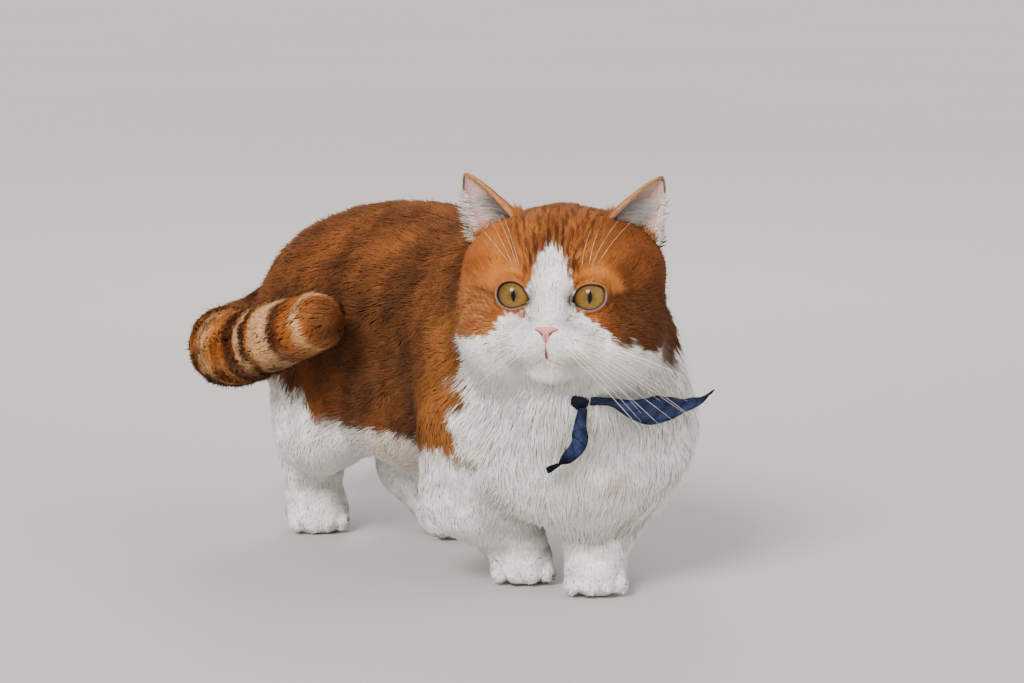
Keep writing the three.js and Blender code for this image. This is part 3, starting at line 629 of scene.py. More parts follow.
def head_colour(p, inner):
    x, y, z = inner.T
    wide = np.abs(x)
    front = fall(y, -26, -6)
    tone = 0.5 + 0.28 * mottle_mid(p) + 0.12 * mottle_fine(p)
    upright = strand_noise(p * [1, 1, 0.3])
    level = ramp(strand_noise(p * [1, 1, 2.2]), -0.6, 0.9)
    streak = 0.6 * np.sin(np.arctan2(x, z + 22) * 74 + 2.2 * np.sin(z * 0.16 + x * 0.3)) + 0.55 * upright
    crown = ramp(z, 14, 26) * fall(wide, 18, 32) * fall(y, 0, 24)
    temple = bell((wide - 25) / 9) * bell((z - 22) / 9) * front
    # painted shade: the side of the head away from the key lamp is darker
    far_side_shade = ramp(x, 16, 38)
    cheek = ramp(wide, 24, 34) * fall(z, 4, 14) * ramp(z, -22, -14)
    brow = bell((eye_gap(inner) - 3.6) / 2.2) * ramp(z, 3, 9)
    eye_line = bell((z - 4.5 - 0.12 * (wide - 28)) / 1.7) * ramp(wide, 26, 30) * fall(wide, 36, 44) * front
    wobble = 1.1 * edge_wobble(p) + 0.9 * edge_fine(p) + 0.8 * strand_noise(p)
    ragged = 1.5 * upright * ramp(z, 8, 18)
    half = 12.4 * np.clip((30 - z + 2 * ragged) / 23, 0, 1) ** 0.62
    blaze = fall(wide + 0.8 * wobble + ragged, half - 1.5, half + 1.2) * front * fall(z, 27, 30)
    beside_blaze = bell((wide - half - 2.6) / 2.4) * ramp(z, 9, 17) * fall(z, 34, 42) * front
    ginger = painted(
        GINGER,
        (LIGHT_GINGER, 0.6 * ramp(tone, 0.35, 1.1)),
        (DARK_GINGER, 0.5 * ramp(-tone, -0.35, 0.2)),
        (UMBER, 0.3 * crown),
        (BROWN, 0.72 * crown * ramp(streak, -0.35, 0.85)),
        (LIGHT_GINGER, 0.6 * temple),
        # painted shade on the far side of the head
        (DARK_GINGER, 0.75 * far_side_shade),
        (DARK_GINGER, 0.5 * cheek),
        # painted shade in umber over the far side, streaked by the strand noise
        (UMBER, (0.5 + 0.35 * level) * far_side_shade * (0.35 + 0.65 * fall(z, 0, 26))),
        (CREAM, 0.3 * level * cheek * (x < 0)),
        (LIGHT_GINGER, 0.75 * brow),
        (BROWN, 0.6 * eye_line),
        (BROWN, 0.85 * beside_blaze * ramp(streak, -1.0, 0.3)),
    )
    mask_low = -0.5 - mix(18, 20, x > 0) * ramp(wide, 8, 42) - 9 * ramp(x, 42, 56)
    below = fall(z + wobble, mask_low - 1.6, mask_low + 1.6) * (1 - ramp(y, 8, 30) * ramp(z, -34, -16))
    by_nose = np.exp(-span(inner - [0, -50, -9]) / 7)
    # painted warm shade on the white of the whisker pad on the far side
    far_pad_shade = bell(span(inner - [13, -46, -25]) / 8)
    white = painted(WHITE, (NOSE_WHITE, 0.5 * by_nose), (WARM_WHITE, 0.5 * far_pad_shade))
    c = colour_mix(ginger, white, np.maximum(below, blaze))
    for side, (tone, share) in TEAR_TONES.items():
        corner = eye_at(side) + [-side * 9.4, -8.5, -3.4]
        c = colour_mix(c, tone, share * bell(span((inner - corner) * [1, 0.6, 0.7]) / 2.6))
    mouth = bell(span((inner - [0, -50, -21]) * [1.4, 0.5, 0.5]) / 3.2)
    return painted(c, (PINK, 0.45 * mouth), (LID_TONE, 0.3 * fall(from_openings(inner), 0.6, 1.6) * (z < 1)))


def tail_colour(p):
    at = tail_place(p)
    off = p - tail_line[at]
    across = off - dot(off, tail_along[at])[:, None] * tail_along[at]
    along = p[:, 1] - 0.17 * off[:, 2] + 0.9 * edge_wobble(p) + 0.6 * edge_fine(p)
    stops, colours = (np.array(part, float) for part in zip(*BAND_STOPS))
    c = np.stack([np.interp(along, stops, colours[:, k]) for k in range(3)], 1)
    bands = 0.5 + 0.5 * np.sin(at * 0.33 + 0.6 * edge_wobble(p))
    return painted(
        c,
        (CREAM, 0.25 * ramp(-off[:, 2], 6, 16)),
        (colour_mix(FLANK, DARK_FLANK, bands), fall(at / (len(tail_line) - 1), 0.36, 0.46)),
        (DARK_GINGER, 0.45 * fall(p[:, 1], 15, 24) * fall(span(across), 6, 12)),
    )


# warm spots laid over the white of the chest, one beside the hanging end's tip
CHEST_WARM_SPOTS = [([-25, -124, 79], 8), ([-2, -131, 67], 7), ([25, -115, 41], 7)]


def coat_colour(p, m):
    w = region_weights(m, 1.0)
    c = np.zeros((len(p), 3))
    found = {0: lambda q: head_colour(p[q], m["inner"][q]), 1: lambda q: body_colour(p[q])}
    found[3] = lambda q: tail_colour(p[q])
    for region, colour_of in found.items():
        near = w[region] > 0.004
        if near.any():
            c[near] += colour_of(near) * w[region][near, None]
    c += colour_mix(WHITE, body_colour(p), ramp(p[:, 2], 60, 80)) * w[2][:, None]
    warm_spots = sum(bell(span((p - spot) * [1, 1, 1.4]) / size) for spot, size in CHEST_WARM_SPOTS)
    return colour_mix(c, WARM_WHITE, np.clip(0.7 * warm_spots, 0, 0.7))


# Making meshes
SHIFT = np.array(sum(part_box("eye_left"), Vector()) * 500) - from_head(eye_at(1))


def placed(points):
    return (np.asarray(points, float) + SHIFT) / 1000


def put(name, data):
    item = bpy.data.objects.new(name, data)
    bpy.context.scene.collection.objects.link(item)
    return item


def make_piece(name, points, faces, material, slot, colours=None, uv=None, normals=None, local=False):
    """A piece from points in the source's frame, or in metres about its own origin where local."""
    mesh = bpy.data.meshes.new(name)
    faces = np.asarray(faces, np.int32)
    sides = faces.shape[1]
    mesh.vertices.add(len(points))
    mesh.vertices.foreach_set(
        "co", (np.asarray(points) if local else placed(points)).astype(np.float32).ravel()
    )
    mesh.loops.add(faces.size)
    mesh.loops.foreach_set("vertex_index", faces.ravel())
    mesh.polygons.add(len(faces))
    mesh.polygons.foreach_set("loop_start", np.arange(0, faces.size, sides, dtype=np.int32))
    mesh.polygons.foreach_set("use_smooth", np.ones(len(faces), bool))
    if uv is not None:
        mesh.uv_layers.new(name="OFBake").data.foreach_set("uv", uv.astype(np.float32).ravel())
    mesh.update(calc_edges=True)
    if normals is not None:
        mesh.normals_split_custom_set_from_vertices(normals.astype(np.float32))
    if colours is not None:
        layer = mesh.attributes.new("piece_colour", "FLOAT_COLOR", "POINT")
        rgba = np.ones((len(points), 4), np.float32)
        rgba[:, :3] = colours
        layer.data.foreach_set("color", rgba.ravel())
    mesh.materials.append(material)
    piece = put(name, mesh)
    if not local:
        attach(piece, "root")
    return piece


# Materials
def new_material(name, **sockets):
    mat = bpy.data.materials.new(name)
    mat.use_nodes = True
    tree = mat.node_tree
    shader = tree.nodes["Principled BSDF"]
    for key, value in sockets.items():
        shader.inputs[key.replace("_", " ")].default_value = value
    return mat, tree, shader


def math_node(tree, operation, *values, clamp=False):
    node = tree.nodes.new("ShaderNodeMath")
    node.operation = operation
    node.use_clamp = clamp
    for i, v in enumerate(values):
        if isinstance(v, (int, float)):
            node.inputs[i].default_value = v
        else:
            tree.links.new(v, node.inputs[i])
    return node.outputs[0]


def noise_node(tree, scale, detail=2.0, vector=None):
    node = tree.nodes.new("ShaderNodeTexNoise")
    node.inputs["Scale"].default_value = scale
    node.inputs["Detail"].default_value = detail
    if vector is None:
        vector = tree.nodes.new("ShaderNodeTexCoord").outputs["Object"]
    tree.links.new(vector, node.inputs["Vector"])
    return node.outputs["Fac"]


def spread(tree, value, low, high):
    node = tree.nodes.new("ShaderNodeMapRange")
    node.inputs["From Min"].default_value = 0.3
    node.inputs["From Max"].default_value = 0.7
    node.inputs["To Min"].default_value = low
    node.inputs["To Max"].default_value = high
    tree.links.new(value, node.inputs["Value"])
    return node.outputs["Result"]


def scaled(tree, colour, factor):
    scale = tree.nodes.new("ShaderNodeVectorMath")
    scale.operation = "SCALE"
    tree.links.new(colour, scale.inputs[0])
    tree.links.new(factor, scale.inputs["Scale"])
    return scale.outputs[0]


def piece_colour_by(tree, factor):
    colour = tree.nodes.new("ShaderNodeAttribute")
    colour.attribute_name = "piece_colour"
    return scaled(tree, colour.outputs["Color"], factor)


def add_bump(tree, shader, height, strength, distance):
    bump = tree.nodes.new("ShaderNodeBump")
    bump.inputs["Strength"].default_value = strength
    bump.inputs["Distance"].default_value = distance
    tree.links.new(height, bump.inputs["Height"])
    tree.links.new(bump.outputs["Normal"], shader.inputs["Normal"])


def coloured_material(name, low, high, scale, bump=0.0, **sockets):
    mat, tree, shader = new_material(name, **sockets)
    grain = noise_node(tree, scale, 3.0)
    tree.links.new(piece_colour_by(tree, spread(tree, grain, low, high)), shader.inputs["Base Color"])
    if bump:
        add_bump(tree, shader, grain, bump, 0.0004)
    return mat


fur_material = coloured_material("plush_fur", 0.9, 1.1, 700, Roughness=0.8, Specular_IOR_Level=0.1)
skin_material = coloured_material(
    "under_fur", 0.7, 1.05, 900, bump=0.5, Roughness=0.85, Specular_IOR_Level=0.1
)
lid_material = coloured_material(
    "eyelid_edge", 0.8, 1.15, 1500, bump=0.2, Roughness=0.6, Specular_IOR_Level=0.2
)
leather_material = coloured_material(
    "nose_skin", 0.9, 1.08, 1700, bump=0.45, Roughness=0.45, Subsurface_Weight=0.15, Subsurface_Scale=0.002
)
ear_material = coloured_material(
    "ear_skin", 0.86, 1.1, 500, bump=0.3, Roughness=0.6, Subsurface_Weight=0.15, Subsurface_Scale=0.003
)
hair_material = coloured_material("long_hair", 0.92, 1.06, 400, Roughness=0.4, Specular_IOR_Level=0.35)

# Colours of the iris from its middle, 0, to its edge, 1
IRIS_STOPS = [(0.0, (58, 54, 20)), (0.2, (96, 74, 30)), (0.42, (122, 90, 36)), (0.64, (114, 82, 34))]
IRIS_STOPS += [(0.76, (82, 58, 24)), (0.85, (30, 20, 11)), (1.0, (10, 7, 6))]


def iris_material():
    gloss = {"Coat_Weight": 0.6, "Coat_Roughness": 0.01, "Coat_IOR": 1.4}
    mat, tree, shader = new_material("iris_and_pupil", Roughness=0.4, Specular_IOR_Level=0.05, **gloss)

    def do(operation, *values):
        return math_node(tree, operation, *values)

    apart = tree.nodes.new("ShaderNodeSeparateXYZ")
    tree.links.new(tree.nodes.new("ShaderNodeTexCoord").outputs["Object"], apart.inputs[0])
    x, z = (do("MULTIPLY", apart.outputs[axis], 1000) for axis in ("X", "Z"))
    radius = do("SQRT", do("ADD", do("MULTIPLY", x, x), do("MULTIPLY", z, z)))
    angle = do("ARCTAN2", z, x)
    spoke = tree.nodes.new("ShaderNodeCombineXYZ")
    for i, value in enumerate((do("COSINE", angle), do("SINE", angle), do("MULTIPLY", radius, 0.03))):
        tree.links.new(value, spoke.inputs[i])
    fibre = noise_node(tree, 14, 3.0, spoke.outputs[0])
    rings = tree.nodes.new("ShaderNodeValToRGB")
    while len(rings.color_ramp.elements) < len(IRIS_STOPS):
        rings.color_ramp.elements.new(0.5)
    for element, (position, rgb) in zip(rings.color_ramp.elements, IRIS_STOPS):
        element.position = position
        element.color = (*linear(*rgb), 1)
    ragged = do("MULTIPLY", do("SUBTRACT", fibre, 0.5), 0.12)
    tree.links.new(do("ADD", do("DIVIDE", radius, 9.5), ragged), rings.inputs[0])
    slit_width = do("DIVIDE", do("ABSOLUTE", x), 1.15)
    slit = do("ADD", slit_width, do("POWER", do("DIVIDE", do("ABSOLUTE", z), 3.4), 2.0))
    edge = tree.nodes.new("ShaderNodeMapRange")
    edge.inputs["From Min"].default_value = 0.88
    edge.inputs["From Max"].default_value = 1.08
    tree.links.new(slit, edge.inputs["Value"])
    # painted light and shade: the iris lighter towards its +x side and darker towards its top, as if shaded
    # by the upper lid
    across, down = (do("ADD", do("MULTIPLY", way, slope), 1.0) for way, slope in ((x, 0.035), (z, -0.055)))
    tone = do("MULTIPLY", spread(tree, fibre, 0.7, 1.3), do("MULTIPLY", across, down))
    shade = scaled(tree, rings.outputs[0], do("MULTIPLY", edge.outputs["Result"], tone))
    tree.links.new(shade, shader.inputs["Base Color"])
    return mat


def cloth_material():
    mat, tree, shader = new_material("denim_twill", Roughness=0.9, Specular_IOR_Level=0.1)
    where = tree.nodes.new("ShaderNodeTexCoord").outputs["Object"]
    weave = tree.nodes.new("ShaderNodeTexWave")
    weave.bands_direction = "DIAGONAL"
    weave.inputs["Scale"].default_value = 520
    weave.inputs["Distortion"].default_value = 1.0
    tree.links.new(where, weave.inputs["Vector"])
    thread = noise_node(tree, 2000, 3.0, where)
    worn = noise_node(tree, 260, 3.0, where)
    tone = math_node(
        tree, "MULTIPLY", spread(tree, worn, 0.8, 1.2), spread(tree, weave.outputs["Fac"], 0.86, 1.08)
    )
    tone = math_node(tree, "MULTIPLY", tone, spread(tree, thread, 0.75, 1.25))
    tree.links.new(piece_colour_by(tree, tone), shader.inputs["Base Color"])
    add_bump(tree, shader, thread, 0.5, 0.0003)
    return mat


# Skin
def skin_grid():
    return (
        grid_lines(-108, 78, 4.5, 1.1, -80, -16),
        grid_lines(-160, 200, 4.5, 1.1, -166, -100),
        grid_lines(-4, 206, 4.5, 1.1, 114, 176),
    )


FLESH = ["head", "neck", "torso"] + [leg + "_leg" for leg in LEGS] + ["tail_base", "tail_middle", "tail_tip"]


def make_skin():
    points, quads = surface_net(skin_field, *skin_grid())
    points[:, 2] = np.maximum(points[:, 2], 0.3)
    m = measure(points)
    w = region_weights(m)
    leg = m["legs"].argmin(0)
    # painted shade: the skin a little darker than the coat over it
    colours = coat_colour(points, m) * 0.95
    region = w.argmax(0)[quads[:, 0]]
    face_leg = leg[quads[:, 0]]
    centres = points[quads].mean(1)
    _, around = unwrap(centres, region, face_leg)
    corners = [unwrap(points[quads[:, k]], region, face_leg, around)[0] for k in range(4)]
    uv = np.clip(np.stack(corners, 1), 0.0, 1.0)
    piece = make_piece("skin", points, quads, skin_material, "ginger_fur", colours, uv)
    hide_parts(*FLESH)
    return points, quads


# Which way the hair lies
def lie_of(p, m, n):
    w = region_weights(m)
    inner = m["inner"]
    x, y, z = inner.T
    back = ramp(y, -24, 10)[:, None]
    on_bridge = (ramp(z, -9, -3) * fall(np.abs(x), 6, 15))[:, None] * (1 - back)
    head = unit(inner - [0.0, -40.0, -10.0]) * (1 - 0.6 * back) + np.array([0.0, 0.75, -0.35]) * back
    head = mix(head, np.array([0.0, 0.1, 1.0]), on_bridge)
    head = head + np.array([0, 0.2, -0.5]) * fall(z, -36, -18)[:, None]
    for side, _ in SIDES:
        reach = span(eye_at(side) - inner)
        to_eye = unit(eye_at(side) - inner)
        toward = np.maximum(dot(head, to_eye), 0) * fall(reach, 13, 22)
        head = head - 1.25 * toward[:, None] * to_eye
    chest = fall(p[:, 1], -100, -58)[:, None]
    body = mix(np.array([0.0, 1.0, -0.42]), np.array([0.0, 0.18, -1.0]), chest)
    headings = np.radians([heading for _, heading in FEET.values()])[m["legs"].argmin(0)]
    ahead = np.stack([np.sin(headings), -np.cos(headings), np.zeros(len(p))], 1)
    low = fall(p[:, 2], 14, 30)[:, None]
    legs = np.array([0.0, 0.12, -1.0]) * (1 - 0.6 * low) + ahead * low * 0.9
    ways = (head @ HEAD_TURN.T, body, legs, tail_along[tail_place(p)])
    v = sum(way * share[:, None] for way, share in zip(ways, w))
    return unit(v - dot(v, n)[:, None] * n)


sway = ripple(21, 26)
clump_a = ripple(22, CLUMP_SIZE)
clump_b = ripple(23, CLUMP_SIZE * 0.8)
clump_lift = ripple(24, CLUMP_SIZE * 1.3)


def turned(v, n, angle):
    return v * np.cos(angle)[:, None] + np.cross(n, v) * np.sin(angle)[:, None]


TUFT_FACES = np.array([[1, 4, 3], [3, 4, 2], [2, 4, 1], [1, 3, 0], [3, 2, 0], [2, 1, 0]])
TUFT_PATCH = np.array([[-1, 0], [0, -1], [0, 1], [0.2, 0], [1, 0]]) * UV_PATCH


def make_tufts(name, root, mid, tip, n, width, colour, uv, slot):
    """Closed tapering tufts, each from root over three-sided middle to tip, lit as a soft surface."""
    along = unit(tip - root)
    across = unit(np.cross(along, n))
    half = width[:, None] / 2
    points = np.stack([root, mid + across * half, mid - across * half, mid + n * half * 0.7, tip], 1)
    normals = unit(np.stack([n, n + 0.5 * across, n - 0.5 * across, n, n + 0.2 * along], 1))
    # painted shade: each tuft darker at its root, deep in the coat, less so where it is white; the ridge and
    # tip lighter
    pale = ramp(colour[:, 2], 0.15, 0.5)
    root_shade = 0.72 + 0.26 * pale
    middle = np.full(len(root), 0.97)
    shade = np.stack([root_shade, middle, middle, middle + 0.03, 1.14 - 0.1 * pale], 1)
    colours = colour[:, None, :] * shade[:, :, None]
    faces = (TUFT_FACES[None] + 5 * np.arange(len(root))[:, None, None]).reshape(-1, 3)
    places = (uv[:, None, :] + TUFT_PATCH[None]).reshape(-1, 2)[faces.ravel()]
    points, colours, normals = (values.reshape(-1, 3) for values in (points, colours, normals))
    return make_piece(name, points, faces, fur_material, slot, colours, places, normals)


def random_roots(points, quads, density, count):
    """Roots spread over the skin, as many to each face as its area and density ask for."""
    a, b, c, d = (points[quads[:, k]] for k in range(4))
    area = 0.5 * span(np.cross(c - a, d - b))
    share = area * density
    reach = np.cumsum(share)
    pick = np.searchsorted(reach, (np.arange(count) + rng.random(count)) / count * reach[-1])
    pick = np.minimum(pick, len(quads) - 1)
    u, v = rng.random((2, count, 1))
    return a[pick] * (1 - u) * (1 - v) + b[pick] * u * (1 - v) + c[pick] * u * v + d[pick] * (1 - u) * v


# Where the neckerchief lies the fur is pressed flat
KNOT_AT = [-30.2, -133.9, 110.5]
HANGING_END = [[-31.5, -138, 108, 4.5], [-31, -135, 99, 6.5], [-28.5, -131, 89, 8.5]]
HANGING_END += [[-33, -124.5, 80, 6], [-38, -118, 75, 3.6]]
SIDE_END = [[-28, -140, 110, 5], [-17, -146, 109, 5.5], [-7, -147, 106.5, 10.5], [5, -145.5, 104, 13.5]]
SIDE_END += [[19, -142, 103, 12], [34, -137, 102, 7], [50, -131, 102.5, 5], [66, -123, 104, 3.4]]
cloth_lengths = [
    limb(a[:3], a[3] / 2, b[:3], b[3] / 2 + 0.01)
    for ends in (HANGING_END[1:], SIDE_END[2:])
    for a, b in zip(ends[:-1], ends[1:])
]


def cloth_distance(p):
    return np.min([f(p) for f in cloth_lengths], axis=0)


def onto_level(p, n, level, passes=2):
    """Moves points along n until the coat's outline is a given distance outside them."""
    for _ in range(passes):
        p = p + np.clip(-level - measure(p)["coat"], -9, 9)[:, None] * n
    return p


def mouth_distance(inner):
    out = np.full(len(inner), 99.0)
    for q in np.vstack(mouth_lines):
        out = np.minimum(out, span(inner - q))
    return out


def make_coat(points, quads):
    middle = points[quads].mean(1)
    root = random_roots(points, quads, coat_measures(middle, measure(middle))[3], TUFT_COUNT)
    inner = to_head(root)
    face = inner[:, 1] < -30
    bald = face & (from_openings(inner) < 0.6)
    bald |= (nose_form(inner) < 0.9) & (inner[:, 1] < -44)
    bald |= face & (mouth_distance(inner) < 0.7)
    root = root[~bald & (root[:, 2] > 1.2)]
    n = slopes(lambda q: measure(q)["coat"], root)
    m = measure(root)
    count = len(root)
    depth, length, width, _ = coat_measures(root, m)
    lie = lie_of(root, m, n)
    length = length * rng.uniform(0.72, 1.22, count)
    width = width * rng.uniform(0.7, 1.25, count)
    calm = 1 - 0.6 * fall(m["inner"][:, 1], -34, -6) * (m["head"] < 8)
    lie = turned(lie, n, (0.22 * sway(root) + 0.16 * rng.normal(size=count)) * calm)
    gather = np.minimum(length * 0.09, 1.3) * calm
    drift = lie * (clump_a(root) * gather)[:, None] + np.cross(n, lie) * (clump_b(root) * gather)[:, None]
    level = depth * np.clip(0.16 + 0.1 * clump_lift(root) + 0.22 * rng.random(count) ** 1.5, 0.02, 0.6)
    level = np.where(rng.random(count) < STRAY_SHARE, -0.12 * depth, level)
    tip = root + lie * length[:, None] + drift + n * depth[:, None]
    level = np.where(cloth_distance(tip) < 3.0, np.maximum(level, 1.4), level)
    tip = onto_level(tip, n, level)
    mid = root + lie * (0.36 * length)[:, None] + 0.4 * drift + n * (0.6 * depth)[:, None]
    mid = onto_level(mid, n, depth * 0.42)
    root = root - n * 0.3
    for q in (mid, tip):
        q[:, 2] = np.maximum(q[:, 2], 0.35)
    inner = to_head(tip)
    bare = (from_openings(inner) < 0.3) & (inner[:, 1] < -30)
    bare |= (nose_form(inner) < 0.8) & (inner[:, 1] < -47)
    surface = onto_level(root + n * depth[:, None] + lie * (0.5 * length)[:, None], n, np.zeros(count), 1)
    m = measure(surface)
    glow = np.clip(1 + 0.07 * rng.normal(size=count) + 0.04 * clump_lift(root), 0.55, 1.5)
    colour = np.clip(coat_colour(surface, m) * glow[:, None], 0.0, 0.88)
    region = region_weights(m).argmax(0)
    uv, _ = unwrap(surface, region, m["legs"].argmin(0))
    white = colour[:, 2] > 0.28
    for k, part in enumerate(REGIONS):
        for shade, of_shade in (("ginger", ~white), ("white", white)):
            chosen = np.flatnonzero((region == k) & of_shade & ~bare)
            groups = np.array_split(chosen, max(1, math.ceil(len(chosen) / TUFTS_A_PIECE)))
            for number, g in enumerate(groups, 1):
                if len(g) > FEWEST_TUFTS:
                    label = f"coat_{part}_{shade}_{number}"
                    places = (root[g], mid[g], tip[g], n[g])
                    make_tufts(label, *places, width[g], colour[g], uv[g], shade + "_fur")


# Small parts of tube form
def tube_mesh(path, radii, sides=6):
    path = np.asarray(path, float)
    along = unit(np.gradient(path, axis=0))
    across = unit(np.cross(along, [0.31, 0.17, 0.93]))
    rise = np.cross(across, along)
    turn = np.linspace(0, 2 * math.pi, sides, endpoint=False)
    ring = across[:, None] * np.cos(turn)[None, :, None] + rise[:, None] * np.sin(turn)[None, :, None]
    points = (path[:, None] + ring * np.asarray(radii)[:, None, None]).reshape(-1, 3)
    faces = []
    for i in range(len(path) - 1):
        for k in range(sides):
            a, b = i * sides + k, i * sides + (k + 1) % sides
            faces += [[a, a + sides, b + sides], [a, b + sides, b]]
    points = np.vstack([points, path[:1], path[-1:]])
    start, end = len(points) - 2, len(points) - 1
    last = (len(path) - 1) * sides
    for k in range(sides):
        faces += [[start, k, (k + 1) % sides], [end, last + (k + 1) % sides, last + k]]
    return points, np.array(faces)


def join_meshes(meshes):
    points, faces, offset = [], [], 0
    for p, f in meshes:
        points.append(p)
        faces.append(f + offset)
        offset += len(p)
    return np.vstack(points), np.vstack(faces)


def hair_path(start, direction, length, droop, steps=9):
    t = np.linspace(0, 1, steps)[:, None]
    return start + unit(np.array(direction)) * length * t + np.array(droop) * length * t**2


def on_face(x, z, depth=0.0):
    """The place on the face, in the head's frame, straight ahead of x and z."""
    p = np.array([[x, -90.0, z]])
    for _ in range(60):
        p[:, 1] += head_form(p) * 0.8
    p[:, 1] += depth
    return p[0]


def mouth_line(*spots):
    return smooth_path([on_face(x, z, 0.9) for x, z in spots], 22)


mouth_lines = [mouth_line((0, -17.5), (0, -21), (0, -24.6))]
mouth_lines += both(lambda s: mouth_line((0, -24.4), (s * 2.6, -26.3), (s * 5.6, -27.8), (s * 9, -29)))

WHISKER_ROWS = [(-14.0, 4), (-17.5, 5), (-21.0, 4)]  # height, and how many in the row


def make_whiskers():
    local = np.random.default_rng(77)
    meshes = []
    for side, _ in SIDES:
        for row, (z, number) in enumerate(WHISKER_ROWS):
            for k in range(number):
                start = on_face(side * (10.0 + 2.4 * k), z - 0.25 * k, 0.8)
                down = -0.28 - 0.28 * row + local.normal() * 0.08
                out = side * (1.0 + 0.1 * local.normal())
                direction = [out, 0.1 + 0.05 * k + 0.06 * local.normal(), down]
                length = local.uniform(38, 62) * (1.0 if side > 0 else 0.5)
                bend = [side * 0.02, 0.22, -0.10 + 0.05 * local.normal()]
                path = from_head(hair_path(start, direction, length, bend))
                meshes.append(tube_mesh(path, np.linspace(0.14, 0.04, len(path)), 5))
        for k in range(4):
            start = on_face(side * (15.0 + 2.2 * k + local.normal()), 18.5 + local.normal() * 1.5, 1.0)
            direction = [side * (0.1 + 0.16 * k + 0.1 * local.normal()), -0.1, 1.0]
            path = from_head(hair_path(start, direction, local.uniform(14, 30), [side * 0.12, 0.3, -0.08]))
            meshes.append(tube_mesh(path, np.linspace(0.06, 0.02, len(path)), 5))
    points, faces = join_meshes(meshes)
    points[:, 2] = np.maximum(points[:, 2], 1.0)
    make_piece("whiskers", points, faces, hair_material, "white_fur", WHISKER)


# Eyes: an eyeball with its iris and slit pupil, and the dark edges of the lids
def ball_mesh(rings, around):
    """Angles from the first pole and about it for a ball's points, and its quads."""
    a, t = np.meshgrid(
        np.linspace(0, math.pi, rings + 1), np.arange(around) * 2 * math.pi / around, indexing="ij"
    )
    at = np.arange(a.size).reshape(a.shape)
    beside = np.roll(at, -1, axis=1)
    return a.ravel(), t.ravel(), np.stack([at[:-1], at[1:], beside[1:], beside[:-1]], -1).reshape(-1, 4)


def faced_out(points, faces, chosen=slice(None)):
    """The faces, turned round if on the whole those chosen look inward."""
    a, b, c = (points[faces[:, k]] for k in range(3))
    outward = dot(np.cross(b - a, c - a), a - points.mean(0))
    return faces[:, ::-1] if outward[chosen].sum() < 0 else faces


def make_eyes():
    iris = iris_material()
    for side, name in SIDES:
        a, t, faces = ball_mesh(56, 72)
        ball = np.stack([np.sin(a) * np.cos(t), -np.cos(a), np.sin(a) * np.sin(t)], 1)
        bulge = 1 + 0.045 * np.clip((-ball[:, 1] - 0.72) / 0.28, 0, 1) ** 1.5
        ball = ball * (EYEBALL_RADIUS / 1000) * bulge[:, None]
        eye = make_piece("eye_" + name + "_ball", ball, faces, iris, "eye", local=True)
        place = Matrix(turn_matrix(HEAD_YAW + 5, HEAD_PITCH - 1, side * 3).tolist()).to_4x4()
        place.translation = Vector(placed(from_head(eye_at(side))))
        eye.matrix_world = place
        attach(eye, "root")
        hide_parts("eye_" + name)
        make_lids(side, name)


# Lids, each a ring of skin round the opening: black at the edge, then pale, then the colour of the fur
LID_STEPS = 96
LID_PROFILE = [(-0.4, 0.0), (-0.35, 0.35), (-0.1, 0.62), (0.3, 0.8), (0.8, 0.9), (1.3, 0.7), (1.5, 0.1)]


def make_lids(side, name):
    turn = np.linspace(0, 2 * math.pi, LID_STEPS, endpoint=False)
    edge = np.stack(opening_edge(side, turn), 1)
    along = np.roll(edge, -1, axis=0) - np.roll(edge, 1, axis=0)
    out = unit(np.stack([along[:, 1], -along[:, 0]], 1))
    points = []
    for away, high in LID_PROFILE:
        x, z = (edge + out * away).T
        y = -np.sqrt(np.maximum((EYEBALL_RADIUS + high) ** 2 - x**2 - z**2, 0.5))
        points.append(np.stack([x, y, z], 1) @ eye_turn(side).T + eye_at(side))
    points = np.stack(points, 1).reshape(-1, 3)
    rows = len(LID_PROFILE)
    at = np.arange(LID_STEPS * rows).reshape(LID_STEPS, rows)
    after, beside = np.roll(at, -1, axis=0), np.roll(at, -1, axis=1)
    faces = np.stack([at, after, np.roll(after, -1, axis=1), beside], -1).reshape(-1, 4)
    faces = faced_out(points, faces, faces[:, 0] % rows == 2)
    world = from_head(points)
    away = np.tile([s for s, _ in LID_PROFILE], LID_STEPS)
    turn = np.repeat(turn, rows)
    inner_corner = np.maximum(-side * np.cos(turn), 0) ** 6
    colour = painted(
        coat_colour(world, measure(world)),
        (LID_TONE, 0.85 * fall(np.sin(turn), -0.2, 0.5) * fall(away, 0.8, 1.4)),
        (TEAR_TONES[side][0], 0.7 * inner_corner * (away > 0)),
        (LID_EDGE, fall(away - 0.35 * np.clip(np.sin(turn), 0, 1), 0.05, 0.45)),
    )
    make_piece("eyelid_edge_" + name, world, faces, lid_material, "nose_leather", colour)


